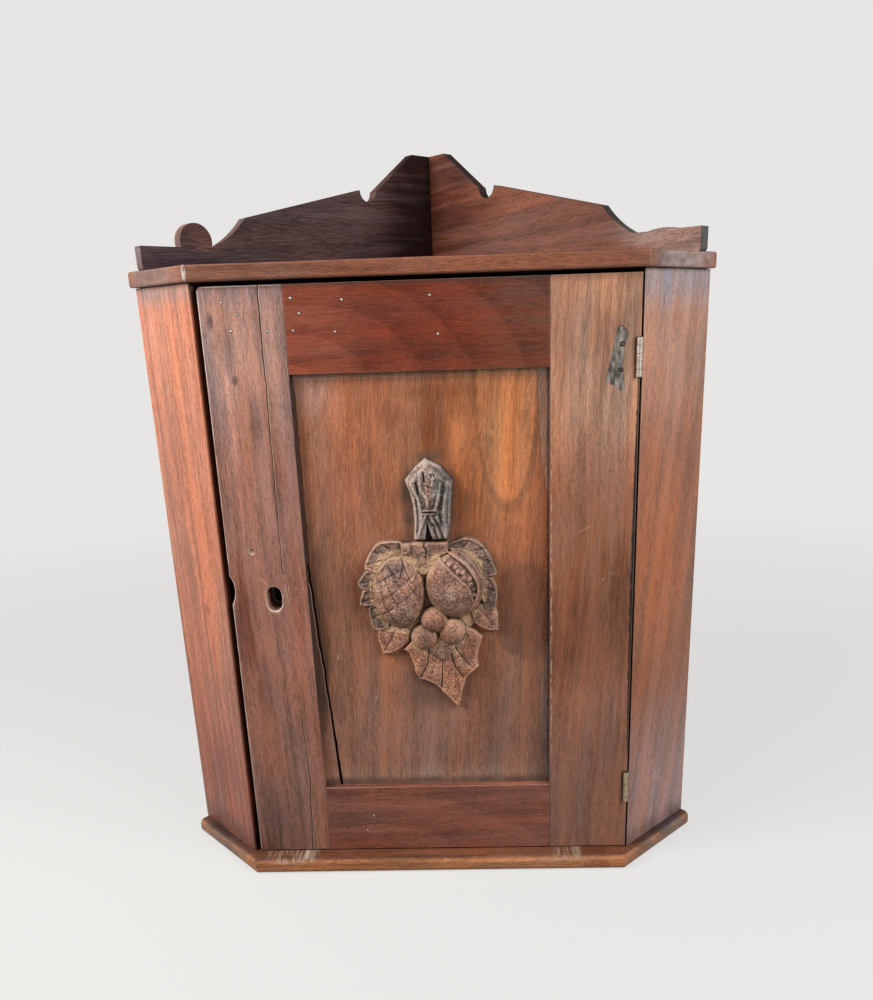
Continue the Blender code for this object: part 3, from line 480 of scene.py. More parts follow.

# settings: colour as seen in plain light, then how each board differs from plain walnut; stains (some
# are painted light and shade) and margins are places x, z, half width, half height (nought: all of it) and
# tint, bands of grime and painted shade and spots end in a strength, scratches are x, z, half length, tilt and
# strength
carcassBoards = dict(
    returnLeft=dict(
        slot="red_walnut", colour=(0.47, 0.185, 0.115), turn=-wallTurn, seed=(0.3, 0.1, 0.2),
        along="Y", ringShare=0.16, fibreShare=0.26, threadShare=0.66, lean=(0.03, 0.0),
        stainsAndPaintedLight=[(0, 0, 0, 210, (0.86, 0.78, 0.84)), (107, 120, 16, 160, (0.55, 0.48, 0.50)),
                (50, 205, 6, 7, (0.6, 0.6, 0.66)), (62, 60, 40, 60, (0.84, 0.78, 0.82)),
                # painted shadow: (0, 442) darkens and greys the top under the top board
                (0, 442, 0, 18, (0.66, 1.02, 1.38)), (20, 300, 4, 140, (1.06, 1.0, 0.94))],
        grimeAndShadeBands=[(0, 0, 0, 30, 0.5)], cool=(0.93, 1.0, 1.06), warm=(1.08, 0.97, 0.85),
    ),
    returnRight=dict(
        slot="red_walnut", colour=(0.37, 0.145, 0.078), turn=wallTurn, seed=(1.3, 0.7, 0.4),
        along="Y", ringShare=0.14, fibreShare=0.13, lean=(0.13, 0.0), spacing=0.009, threadShare=0.6,
        easing=0.3, wearShare=0.4,
        # painted sheen: the first three stains make the board greyer and bluer, as light at a grazing angle does
        stainsAndPaintedLight=[(0, 420, 0, 120, (1.16, 1.52, 1.88)), (0, 0, 0, 150, (1.34, 2.16, 3.7)),
                (0, 446, 0, 40, (0.72, 1.13, 1.75)), (104, 240, 16, 220, (0.72, 0.85, 1.0)),
                (60, 235, 30, 60, (1.08, 1.0, 0.9))],
        grimeAndShadeBands=[(0, 0, 0, 20, 0.3)],
    ),
    galleryLeft=dict(
        # painted shade: the colour is darker than galleryRight's walnut, and the first stain and the band darken
        # it further towards the corner
        slot="dark_walnut", colour=(0.094, 0.056, 0.058), turn=-wallTurn, grain="across", reach=galleryReach,
        seed=(0.2, 2.1, 0.6), rough=0.5, wear=(0.035, 0.022, 0.021), wearShare=0.8, spec=0.06, lean=(0.0, 0.05),
        threadShare=0.8, threadScale=(2300, 2300, 45), fibreShare=0.34, poreDark=0.5, poreScale=(1900, 1900, 80),
        edgeTint=(1.8, 1.95, 1.8), grimeAndShadeColour=(0.018, 0.008, 0.007), grimeAndShadeBands=[(99, 500, 70, 0, 0.75)],
        stainsAndPaintedLight=[(99, 500, 110, 0, (0.22, 0.10, 0.095)), (60, 470, 110, 26, (0.55, 0.5, 0.5)),
                (-150, 456, 80, 14, (0.62, 0.58, 0.62)), (-140, 482, 22, 20, (2.0, 1.7, 1.5))],
    ),
    galleryRight=dict(
        slot="dark_walnut", colour=(0.185, 0.074, 0.050), turn=wallTurn, grain="across", reach=galleryReach,
        seed=(0.9, 1.1, 1.6), rough=0.48, wear=(0.07, 0.04, 0.03), spec=0.14, lean=(0.0, 0.06),
        threadShare=0.66, threadScale=(2400, 2400, 55), fibreShare=0.26, poreDark=0.4,
        edgeTint=(0.25, 0.41, 0.46),
        # painted shade: the first stain darkens the board towards the corner
        stainsAndPaintedLight=[(-99, 500, 120, 0, (0.46, 0.34, 0.32)), (184, 470, 80, 0, (1.9, 3.1, 4.0))],
    ),
    topBoard=dict(
        slot="edge_walnut", colour=(0.21, 0.082, 0.048), grain="across", seed=(2.2, 0.5, 0.1),
        ledge=(0.42, 0.28, 0.22), wearShare=0.2, threadScale=(2300, 2300, 120), pale=(0.56, 0.46, 0.43),
        paleSpots=[(-153.5, 448, 1.5, 7, 1.0)], chipReach=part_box("top_board")[0].y + 0.0012,
        stainsAndPaintedLight=[(-186, 448, 34, 0, (0.98, 1.45, 1.95)), (186, 448, 34, 0, (1.6, 3.0, 4.8))],
    ),
    baseBoard=dict(
        slot="edge_walnut", colour=(0.44, 0.182, 0.082), grain="across", seed=(1.2, 1.5, 2.1), rounded=True,
        ledge=(0.31, 0.30, 0.36), poreDark=0.6, pale=(0.44, 0.34, 0.27), chipScale=(420, 24, 200),
        threadScale=(2000, 2000, 130), blotchShare=0.5, fibreShare=0.3, chipReach=frontY + 0.0005,
        stainsAndPaintedLight=[(-188, 0, 42, 0, (0.52, 0.80, 1.35)), (188, 0, 42, 0, (0.52, 0.80, 1.35)),
                (-135, -7, 26, 0, (0.86, 0.80, 0.78)), (20, -7, 110, 0, (1.22, 1.20, 1.10)),
                (128, -7, 12, 0, (0.8, 0.74, 0.7))],
        paleSpots=[(-120, 0, 24, 5, 0.5), (104, 0, 13, 5, 0.45)], scratches=[(-108.7, 0, 1.6, 0, 1.3)],
    ),
)

doorBoards = dict(
    lockStile=dict(
        slot="brown_walnut", colour=(0.34, 0.155, 0.110), seed=(0.7, 0.2, 1.9), lean=(0.0, 0.03),
        stainsAndPaintedLight=[(0, 430, 0, 130, (1.08, 1.42, 1.68)), (0, 20, 0, 170, (0.80, 0.84, 0.88)),
                (-132, 400, 9, 26, (0.68, 0.73, 0.80)), (-141, 417, 3, 9, (0.4, 0.42, 0.48)),
                # painted shadow: (0, 437) darkens the top under the top board
                (-128, 378, 3, 5, (0.4, 0.42, 0.5)), (0, 437, 0, 12, (0.82, 0.88, 1.05)),
                (-116, 350, 7, 30, (0.62, 0.66, 0.74)), (-106, 300, 4, 60, (0.62, 0.60, 0.64)),
                (-136, 340, 10, 76, (1.5, 1.46, 1.42)), (-128, 150, 10, 40, (0.72, 0.70, 0.74)),
                (-98, 220, 9, 70, (0.95, 0.80, 0.72)), (-140, 202, 13, 68, (0.5, 0.42, 0.40)),
                (-136, 8, 24, 70, (0.58, 0.58, 0.62))],
        easing=0.7, fibreShare=0.24, scratches=[(-122.5, 232, 6.5, -48, 0.7)],
        # painted shade: the band at 440 darkens the top under the top board; the band at -90.1 darkens the inner
        # edge beside the panel
        grimeAndShadeBands=[(0, 440, 0, 5, 0.5), (-129.5, 256, 1.8, 1.8, 1.2), (-90.1, 250, 0.6, 230, 2.0)],
        wear=(0.66, 0.52, 0.45), wearShare=0.9,
        paleSpots=[(-116, 218, 8.6, 12.8, 0.9), (-129, 255.5, 3.4, 3.2, 0.8), (-106, 222, 3, 10, 0.5),
                   (-107, 258, 1.6, 8, 0.6)],
    ),
    hingeStile=dict(
        slot="brown_walnut", colour=(0.326, 0.141, 0.084), seed=(1.9, 0.9, 0.3), lean=(0.0, -0.05),
        threadScale=(2900, 2900, 80), threadShare=0.56, fibreShare=0.24, poreDark=0.30, easing=0.25,
        # painted shadow: the first margin darkens the top under the top board; painted shade: the second
        # blackens the edge along the gap to the return
        margins=[(0, 447, 0, 12, (0.85, 0.85, 0.84)), (151, 236, 1.7, 160, (0.07, 0.065, 0.065))],
        stainsAndPaintedLight=[(0, 400, 0, 110, (1.16, 1.42, 1.55)), (0, 40, 0, 150, (0.74, 0.87, 1.06)),
                (146, 300, 9, 60, (1.06, 0.92, 0.82)), (128, 320, 7, 70, (0.86, 0.98, 1.04)),
                (141, 236, 20, 34, (0.76, 0.68, 0.58)), (122, 236, 36, 74, (0.80, 0.70, 0.55)),
                (100, 396, 9, 44, (0.72, 0.78, 0.88)), (0, 352, 0, 56, (1.26, 1.33, 1.33)),
                (0, 190, 0, 62, (0.64, 0.60, 0.58)), (132, 430, 22, 26, (1.2, 1.3, 1.3))],
        scratches=[(116.5, 267, 12.5, 27, 0.34), (136, 232.5, 4.5, 0, 0.3)],
        paleSpots=[(91.2, 215, 0.8, 160, 0.7), (129, 228, 0.8, 0.8, 1.2)],
        # painted shade: this band darkens the edge along the gap to the return
        grimeAndShadeColour=(0.015, 0.011, 0.010), grimeAndShadeBands=[(150.7, 250, 1.1, 135, 2.2)],
        wear=(0.58, 0.46, 0.38), wearShare=0.5,
    ),
    topRail=dict(
        slot="red_walnut", colour=(0.156, 0.036, 0.0190), grain="across", seed=(0.4, 0.6, 0.8),
        flame=(-96, 372, (36, 20.5), 0.26), blotchShare=0.16, spec=0.16, threadShare=0.60, poreDark=0.25,
        threadScale=(2300, 2300, 120), cool=(0.86, 1.02, 1.20), warm=(1.14, 0.96, 0.78),
        stainsAndPaintedLight=[(-82, 410, 60, 0, (1.34, 1.62, 1.75)), (84, 410, 60, 0, (0.84, 1.28, 1.5)),
                (30, 388, 70, 12, (0.86, 1.02, 1.08))],
        # painted shadow: this band darkens the top under the top board
        grimeAndShadeBands=[(0, 440, 0, 5, 0.5)],
    ),
    bottomRail=dict(
        slot="red_walnut", colour=(0.245, 0.090, 0.060), grain="across", seed=(1.4, 2.6, 1.8),
        flame=(-60, -30, (60, 30), 0.22), threadScale=(2300, 2300, 120),
        stainsAndPaintedLight=[(-90, 30, 40, 0, (0.82, 0.80, 0.82)), (20, 40, 60, 14, (1.12, 1.08, 1.04))],
    ),
    doorPanel=dict(
        slot="panel_walnut", colour=(0.335, 0.140, 0.076), seed=(0.1, 1.7, 0.5), lean=(0.0, -0.05),
        threadShare=0.62, fibreShare=0.20, poreDark=0.34, threadScale=(2900, 2900, 80),
        margins=[(60.5, 371, 25.5, 97, (0.72, 0.78, 0.85)), (60, 370, 22, 87, (1.76, 1.66, 1.40)),
                 # partly a grey band on the wood, partly painted light: (91, 380) down the right and the two (0,
                 # 384) strips along the top are greyed and lifted, cancelling the shadow of the hinge stile and
                 # the top rail
                 (91, 380, 9, 94, (1.25, 1.85, 2.6)), (0, 384, 0, 8.2, (1.35, 1.75, 2.2)),
                 (0, 384, 0, 6, (1.45, 1.6, 1.6)), (72, 202, 26, 41, (0.74, 0.78, 0.84)),
                 # painted shade: (91, 215) is the dark groove beside the hinge stile, (-91, 312) the lock
                 # stile's shadow on the panel
                 (89, 120, 5, 62, (1.0, 1.5, 2.0)), (91, 215, 2.8, 0, (0.30, 0.30, 0.36)),
                 (-91, 312, 3.2, 110, (0.22, 0.21, 0.22))],
        stainsAndPaintedLight=[(-55, 352, 46, 50, (1.30, 1.20, 1.18)), (42, 325, 62, 110, (1.36, 1.22, 0.92)),
                (0, 60, 0, 150, (0.97, 1.10, 1.38)), (66, 110, 40, 90, (0.84, 0.90, 0.94)),
                # painted shade: (-86, 172) darkens the strip between the lock stile and the split
                (-86, 172, 12, 100, (0.34, 0.38, 0.40)), (-80, 366, 22, 22, (1.1, 1.35, 1.8)),
                (21, 292, 9, 34, (0.74, 0.62, 0.48)), (10, 366, 60, 7, (0.86, 0.80, 0.70)),
                (8, 330, 16, 60, (0.64, 0.56, 0.48)), (-64, 296, 36, 46, (1.42, 1.30, 1.34)),
                (-56, 222, 28, 34, (0.74, 0.66, 0.68)), (-83, 104, 7, 30, (1.2, 1.5, 1.8)),
                (32, 362, 28, 26, (0.72, 0.68, 0.64)), (-22, 352, 12, 16, (0.72, 0.68, 0.66)),
                (74, 205, 36, 62, (0.60, 0.62, 0.66)), (0, 62, 0, 16, (1.12, 1.34, 1.42))],
        grimeAndShadeColour=(0.104, 0.064, 0.047),
        # painted shade: (-91, 300) darkens the panel's left edge in the lock stile's shadow
        grimeAndShadeBands=[(0, 58, 0, 9, 0.7), (-91, 300, 4, 0, 0.3), (84, 80, 16, 60, 0.45), (-12.5, 290, 8, 32, 1.0),
                    (19, 290, 8, 32, 0.8), (3, 321, 16, 6, 0.9), (4, 262, 46, 8, 0.45), (-2, 140, 34, 26, 0.5)],
        scratches=[(0, 58.9, 90, 0, 0.22), (-72.5, 168.5, 3.4, 90, 1.5)], paleSpots=[(-45, 134, 1.0, 1.4, 1.4)],
    ),
)

# torn wood: each run is a path, its widths at both ends and a seed
lockCrack = dict(
    runs=[([(-106.4, 440), (-106.8, 380), (-107.4, 310), (-108.1, 238)], (1.0, 0.5), 3),
          ([(-104.2, 128), (-102.0, 66), (-105.0, 0)], (0.35, 1.0), 5)],
    section=[(-0.45, -1.0), (1.0, -1.0), (1.0, 0.02), (0.4, 0.35), (0.2, 3.0), (-0.2, 3.0), (-0.45, 0.3)],
    wornSides=(2,), step=7.0, jitter=0.16,
    lip=dict(name="crackLipWood", colour=(0.50, 0.36, 0.28), seed=(0.5, 0.5, 0.5)),
)
panelSplit = dict(
    runs=[([(-89.6, 243), (-87.6, 205), (-84.4, 158), (-80.8, 108), (-77.4, 58.6)], (1.05, 0.8), 9)],
    section=[(-1.4, -1.0), (1.1, -1.0), (1.0, 0.4), (0.6, 5.5), (-0.7, 5.5), (-1.0, 0.5), (-1.4, 0.05)],
    wornSides=(5,), step=6.0, jitter=0.3,
    lip=dict(name="splitLipWood", colour=(0.22, 0.17, 0.15), seed=(0.9, 0.5, 0.1)),
)
lockDent = dict(place=(-129, 255.5), half=(2.2, 0.9, 2.4))
doorCorner = dict(radius=4.0, steps=6, depth=21)
hingeScar = dict(
    outline=[(138, 406.5), (135, 404), (133.5, 397), (132, 388.5), (130, 379.5), (128.5, 370.5), (134, 366.5),
             (139.5, 363), (141.5, 365), (141, 370), (140, 379), (140.5, 388), (141, 395), (143, 401),
             (139.5, 405.5)],
    tones=[(0.12, (0.062, 0.056, 0.048)), (0.55, (0.190, 0.165, 0.138)), (0.95, (0.340, 0.285, 0.240))],
    depth=0.5, rough=0.6, spec=0.25, bump=0.8, bumpDepth=0.0006, stretch=(300, 300, 90), torn=(1.0, 5.0, 0.6),
    tornFade=(0.33, 0.67), speck=(1400.0, 3.0, 0.6), speckFade=(0.3, 0.7, -0.12, 0.12),
)


def makeScarWood(look):                # torn, greasy wood where an older hinge sat
    material, tree, sockets, coords = newMaterial("hingeScarWood")
    torn = tree.noise(tree.mapped(coords, scale=look["stretch"]), *look["torn"])
    speck = tree.noise(coords, *look["speck"])
    tone = tree.plus(tree.fade(torn, *look["tornFade"]), tree.fade(speck, *look["speckFade"]), clamp=True)
    tree.coat(sockets, tone, look["bump"], look["bumpDepth"],
              {"Base Color": tree.ramp(tone, look["tones"]), "Roughness": look["rough"],
               "Specular IOR Level": look["spec"]})
    return material


def tornOpen(shape, look, faceY, materials):
    materials.append(makeWood(**look["lip"]))
    for path, widths, seed in look["runs"]:
        path = wanderingPath(path, look["step"], look["jitter"], seed)
        cutter = ribbonCutter(path, look["section"], faceY, widths, look["wornSides"])
        shape = cutWith(shape, cutter, materials[1])
    return shape


def dressBoard(name, look, body):
    look = {**woodBase, **look}
    slot, rounded = look.pop("slot"), look.pop("rounded", False)
    materials = [makeWood(name + "Walnut", **look)]
    shape = cadCopy(nodeOf(name))
    easeEdges(shape, look["easing"] * mm, boardAngle, canBeRubbed if body == "door" else None)
    if rounded:
        softenRounds(shape)
    if name == "lockStile":
        shape = tornOpen(shape, lockCrack, doorFaceY, materials)
        shape = cutWith(shape, dentCutter(**lockDent))
        shape = cutWith(shape, cornerCutter(**doorCorner))
    if name == "doorPanel":
        shape = tornOpen(shape, panelSplit, panelFaceY, materials)
    if name == "hingeStile":
        materials.append(makeScarWood(hingeScar))
        scar = prismCutter(roundedOutline(hingeScar["outline"], 3), doorFaceY, hingeScar["depth"])
        shape = cutWith(shape, scar, materials[1])
    addPiece(name, shape, materials, body, nodeOf(name))


for name, look in carcassBoards.items():
    dressBoard(name, look, "carcass")
for name, look in doorBoards.items():
    dressBoard(name, {"reach": doorReach, **look}, "door")
print("boards dressed")

# carved pull: two relief pieces, worked as heights over the panel in millimetres from the seam


seamX = (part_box("pull_stem")[0].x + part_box("pull_stem")[1].x) / 2
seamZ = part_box("pull_stem")[0].z

carving = dict(under=-0.9, wall=0.45, rimAt=1.1, rimWidth=0.75, domePower=2.3, domeRim=0.06, shownFrom=0.05,
               toolMark=0.07, toolFrom=0.3, toolFine=(1.3, 3), toolBroad=(4.0, 6), seed=7)
# how far round each place its level is taken, and the height that counts as a full mark
carvedMarks = dict(soft=2.4, fine=0.9, wide=7.5, hollow=2.2, crown=2.0, crease=0.55, rim=0.45, dust=3.6)


def smoothStep(t):
    t = np.clip(t, 0, 1)
    return t * t * (3 - 2 * t)


def rising(value, start, width):
    return smoothStep((value - start) / width)


def bell(value, width=1):
    return np.exp(-(value / width) ** 2)


def blurred(height, radius):           # radius in grid steps
    taps = np.arange(-int(2.5 * radius), int(2.5 * radius) + 1)
    weights = bell(taps, radius)
    weights /= weights.sum()
    for axis in (0, 1):
        pad = [(0, 0), (0, 0)]
        pad[axis] = (-taps[0], taps[-1])
        wide = np.pad(height, pad, mode="edge")
        size = height.shape[axis]
        height = sum(w * np.take(wide, np.arange(k, k + size), axis) for k, w in enumerate(weights))
    return height


class Relief:
    def __init__(self, left, right, bottom, top, step):
        self.step = step
        self.across, self.up = np.meshgrid(np.arange(left, right + step, step),
                                           np.arange(bottom, top + step, step))
        self.height = np.full(self.across.shape, carving["under"])
        self.cut, self.slate, self.russet, self.dust = (np.zeros(self.across.shape) for layer in range(4))

    def away(self, path):
        nearest = np.full(self.across.shape, np.inf)
        for (ax, az), (bx, bz) in zip(path, path[1:]):
            dx, dz = bx - ax, bz - az
            t = np.clip(((self.across - ax) * dx + (self.up - az) * dz) / (dx * dx + dz * dz), 0, 1)
            nearest = np.minimum(nearest, np.hypot(self.across - ax - t * dx, self.up - az - t * dz))
        return nearest

    def inside(self, outline):         # distance to the edge, positive inside
        closed = [*outline, outline[0]]
        within = np.zeros(self.across.shape, bool)
        for (ax, az), (bx, bz) in zip(closed, closed[1:]):
            if az != bz:
                beside = self.across < (bx - ax) * (self.up - az) / (bz - az) + ax
                within ^= ((az > self.up) != (bz > self.up)) & beside
        away = self.away(closed)
        return np.where(within, away, -away)

    def round(self, middle, half=(1, 1)):        # 1 on the rim of an oval
        return np.hypot((self.across - middle[0]) / half[0], (self.up - middle[1]) / half[1])

    def raiseTo(self, h, slate, russet, dust=0.0):
        higher = h > self.height
        self.cut = np.where(higher, 0, self.cut)
        self.slate = np.where(higher, slate, self.slate)
        self.russet = np.where(higher, russet, self.russet)
        self.dust = np.where(higher, dust, self.dust)
        self.height = np.maximum(self.height, h)

    def plate(self, outline, edge, rise, spread, rim=0.0, slate=0.0, russet=0.0, dust=0.0):
        d = self.inside(outline)
        under, wall = carving["under"], carving["wall"]
        inner = np.maximum(d, 0)
        h = under + (edge - under) * rising(d, -wall, 2 * wall) + rise * (1 - np.exp(-inner / spread))
        h = h + rim * bell(inner - carving["rimAt"], carving["rimWidth"]) * (d > 0)
        self.raiseTo(h, slate, russet, dust)
        return d

    def plates(self, outlines, slates, shape):
        for outline, slate in zip(outlines, slates):
            self.plate(outline, slate=slate, **shape)

    def dome(self, middle, half, depth, lift, slate=0.0, russet=0.0):
        r = self.round(middle, half)
        crown = np.sqrt(np.maximum(1 - r ** carving["domePower"], 0))
        self.raiseTo(np.where(r < 1, lift + depth * crown, carving["under"]), slate, russet)
        return r, smoothStep((1 - r) / carving["domeRim"])

    def strokes(self, paths, depth, width, mark=1.0, where=1.0):      # depth above nought cuts, below raises
        for path in paths:
            shape = bell(self.away(path), width) * where
            self.height = self.height - depth * shape
            if depth > 0:
                self.darken(mark * shape)

    def darken(self, amount):
        self.cut = np.maximum(self.cut, amount)

    def finish(self):
        rough = np.random.default_rng(carving["seed"]).normal(size=self.across.shape)
        rough = sum(blurred(rough, radius) * share
                    for radius, share in (carving["toolFine"], carving["toolBroad"]))
        marked = self.height + carving["toolMark"] * rough
        marked = np.where(self.height > carving["toolFrom"], marked, self.height)
        self.height = np.maximum(marked, carving["under"])

    def marks(self):
        h, look = self.height, carvedMarks
        soft, fine, wide = (blurred(h, look[label] / self.step) for label in ("soft", "fine", "wide"))
        made = dict(hollow=(soft - h) / look["hollow"], crown=(h - soft) / look["crown"],
                    crease=(fine - h) / look["crease"], rim=(h - fine) / look["rim"],
                    dust=(wide - h) / look["dust"] + self.dust,
                    cut=self.cut, slate=self.slate, russet=self.russet)
        return {label: np.clip(values, 0, 1) for label, values in made.items()}

    def piece(self, name, material, slot):
        h = self.height
        highest = np.maximum.reduce([h[:-1, :-1], h[1:, :-1], h[:-1, 1:], h[1:, 1:]])
        rows, columns = np.nonzero(highest > carving["under"] + carving["shownFrom"])
        width = h.shape[1]
        corner = rows * width + columns
        quads = np.stack([corner, corner + 1, corner + width + 1, corner + width], 1)
        used = np.unique(quads)
        index = np.full(h.size, -1)
        index[used] = np.arange(len(used))
        places = np.stack([seamX + self.across.ravel()[used] * mm, panelFaceY - h.ravel()[used] * mm,
                           seamZ + self.up.ravel()[used] * mm], 1)
        mesh = bpy.data.meshes.new(name)
        mesh.from_pydata(places.tolist(), [], index[quads].tolist())
        for label, values in self.marks().items():
            layer = mesh.attributes.new(label, "FLOAT", "POINT")
            layer.data.foreach_set("value", values.ravel()[used].astype(np.float32))
        shape = bmesh.new()
        shape.from_mesh(mesh)
        bpy.data.meshes.remove(mesh)
        for face in shape.faces:
            face.smooth = True
        border = [edge for edge in shape.edges if edge.is_boundary]
        for vert in {v for edge in border for v in edge.verts}:
            vert.co.y = panelFaceY - carving["under"] * mm
        bmesh.ops.holes_fill(shape, edges=border, sides=0)
        addPiece(name, shape, [material], "door", nodeOf(name))


# the patterns of carved wood: shift, scale, detail and roughness
carvedNoise = dict(
    grain=((0, 0, 0), (420, 420, 70), 4.0, 0.6),
    patchy=((0, 0, 0), (85, 85, 85), 5.0, 0.62),
    drift=((105.8, 18.4, 50.6), (46, 46, 46), 4.0, 0.6),
    speck=((0, 0, 0), (1300, 1300, 1300), 3.0, 0.62),
    pits=((0, 0, 0), (760, 760, 520), 2.0, 0.6),
)
carvedTone = dict(patchy=(0.25, 0.75), grain=(-0.16, 0.16), speck=(-0.2, 0.2), pits=(-0.26, 0.26))
carvedFade = dict(       # where a pattern starts and ends, and what it is worth there
    tone=(0.3, 0.7), slate=(0.36, 0.6, 1.0, 0.6), dust=(0.07, 0.34), dustPatch=(0.36, 0.56, 0.25, 1.0),
    dustSpeck=(0.34, 0.60, 0.25, 1.0), worn=(0.40, 0.58, 0.25, 1.0), gloss=(0.2, 0.9),
)
carvedShare = dict(crown=0.6, hollow=0.75, crease=0.5, cut=0.4, speckBump=0.5, pitBump=1.8)
carvedStops = (0.05, 0.5, 0.95)
carvedWarmth = [(0.36, (0.9, 1.0, 1.05)), (0.62, (1.12, 0.97, 0.85))]
carvedCoat = dict(bump=1.0, bumpDepth=0.0009, spec=0.42, gloss=(0.14, -0.06))


def makeCarved(name, look):
    material, tree, sockets, coords = newMaterial(name)
    noise = {label: tree.noise(tree.mapped(coords, shift, scale=scale), 1.0, detail, rough)
             for label, (shift, scale, detail, rough) in carvedNoise.items()}
    patchy, speck = noise["patchy"], noise["speck"]

    def faded(value, label, *ends):
        return tree.fade(value, *carvedFade[label], *ends)

    def marked(label):
        return tree.times(tree.mark(label), carvedShare[label])

    tones = [faded(noise[label], "tone", *ends) for label, ends in carvedTone.items()]
    # crowns lighter and hollows darker: the hollows are painted shade, the crowns partly wear and partly painted
    # highlight
    tone = tree.math("SUBTRACT", tree.plus(*tones, marked("crown")), marked("hollow"), clamp=True)
    base = tree.ramp(tone, list(zip(carvedStops, (look["dark"], look["mid"], look["light"]))))
    base = tree.mix(1.0, base, tree.ramp(noise["drift"], carvedWarmth), "MULTIPLY")
    base = tree.mix(tree.times(tree.mark("slate"), faded(patchy, "slate")), base, look["slate"], "MULTIPLY")
    base = tree.mix(tree.mark("russet"), base, look["russet"], "MULTIPLY")
    powder = tree.times(faded(tree.mark("dust"), "dust"), faded(patchy, "dustPatch"), faded(speck, "dustSpeck"),
                        look["dustShare"])
    base = tree.mix(powder, base, look["dust"])
    # pale rims on ridges: partly wear, partly painted highlight
    worn = tree.times(tree.mark("rim"), faded(patchy, "worn"), look["rimShare"])
    base = tree.mix(worn, base, look["light"])
    # painted shade: creases between raised parts go dark; cut holds the dark of carved cuts plus painted shade
    # in the stem's hole and eye, the slit, round seeds, under petals and down the stem's right side
    for label in ("crease", "cut"):
        dark = tuple(c * carvedShare[label] for c in look["dark"])
        base = tree.mix(tree.times(tree.mark(label), look[label + "Share"]), base, dark)
    height = tree.plus(tree.times(speck, carvedShare["speckBump"]),
                       tree.times(noise["pits"], carvedShare["pitBump"]))
    rough = faded(tone, "gloss", *(look["rough"] + change for change in carvedCoat["gloss"]))
    tree.coat(sockets, height, carvedCoat["bump"], carvedCoat["bumpDepth"],
              {"Base Color": base, "Roughness": rough, "Specular IOR Level": carvedCoat["spec"]})
    return material


stemLook = dict(dark=(0.040, 0.028, 0.024), mid=(0.240, 0.176, 0.145), light=(0.540, 0.430, 0.365),
                dust=(0.24, 0.19, 0.15), dustShare=0.3, cutShare=0.75, rimShare=0.85, creaseShare=0.8,
                slate=(0.45, 0.53, 0.57), russet=(1.35, 0.92, 0.78), rough=0.26)
fruitLook = dict(dark=(0.085, 0.042, 0.029), mid=(0.325, 0.162, 0.112), light=(0.590, 0.355, 0.262),
                 dust=(0.800, 0.510, 0.290), dustShare=1.0, cutShare=0.72, rimShare=0.4, creaseShare=0.7,
                 slate=(0.40, 0.48, 0.54), russet=(1.18, 0.96, 0.80), rough=0.24)

stemShape = dict(
    field=(-20, 20, -1.2, 62.5, 0.34),       # left, right, bottom, top and step of the grid
    outline=[(-2, 60), (-10, 53.5), (-17.5, 44.5), (-14, 36), (-12, 25.5), (-11.5, 14), (-12.5, 0.5),
             (13, 0.5), (15, 12), (15.5, 22.5), (16.5, 32.5), (17.5, 43.5), (9, 54)],
    plate=dict(edge=6.2, rise=3.6, spread=1.8), body=(0.6, 1.6),
    gable=dict(path=[(-17.5, 44.5), (-2, 60), (17.5, 44)], fall=2.4, slope=(0.5, 4)),
    hollow=dict(outline=[(-2, 14), (-4.5, -1), (2, -1)], floor=1.0, slope=(-0.3, 0.9), shade=(0, 0.8)),
    russet=dict(middle=(-0.5, 36), half=(3.2, 11), share=0.9), slate=(-4, 12),
    shade=dict(start=6, width=6, border=1.3, share=0.75),
    folds=dict(depth=-1.6, width=1.1, paths=[
        [(-16, 43.5), (-12.5, 32.5), (-11, 21), (-11.5, 10.5), (-11.5, 2.5)],
        [(-12.5, 41.5), (-7.5, 30), (-6, 19.5), (-7, 10.5), (-9, 2.5)],
        [(-6.5, 50), (-5.5, 37.5), (-1.5, 31), (-1, 25)],
        [(2.5, 50.5), (3.5, 46.5), (2.5, 41)],
        [(13.5, 43.5), (12, 32), (10, 20.5), (11, 10), (12, 2)],
        [(8.5, 42), (6.5, 31), (4, 23)],
        [(-3.5, 18.5), (-6, 11.5), (-10, 2.5)],
        [(0.5, 18.5), (4, 11.5), (7, 2.5)],
        [(5, 18), (9, 10), (11, 2.5)]]),
    grooves=dict(depth=0.7, width=0.7, mark=0.35, paths=[
        [(-9.5, 33), (-8.5, 22), (-9, 10), (-10.5, 2.5)], [(9, 33), (7, 22), (8, 12)], [(2.5, 13), (5, 3)],
        [(-14.5, 43), (-11.5, 33.5)], [(13.5, 30), (12.5, 14)]]),
    slits=dict(depth=1.6, width=0.7, mark=0.9, paths=[[(-3.5, 50), (-3, 44)], [(-9, 43), (-7.5, 35)]]),
    knot=dict(depth=-1.3, width=0.9, paths=[[(-4.5, 23), (2.5, 23)], [(-4.5, 20.5), (2.5, 20.5)]]),
    knotLine=dict(depth=0.9, width=0.45, paths=[[(-4.5, 21.5), (3, 21.5)]]),
    eye=dict(middle=(3, 48), radius=2.5, rim=(0.7, 0.7), pit=(0.9, 1.4), shade=(0.45, 1.6)),
)


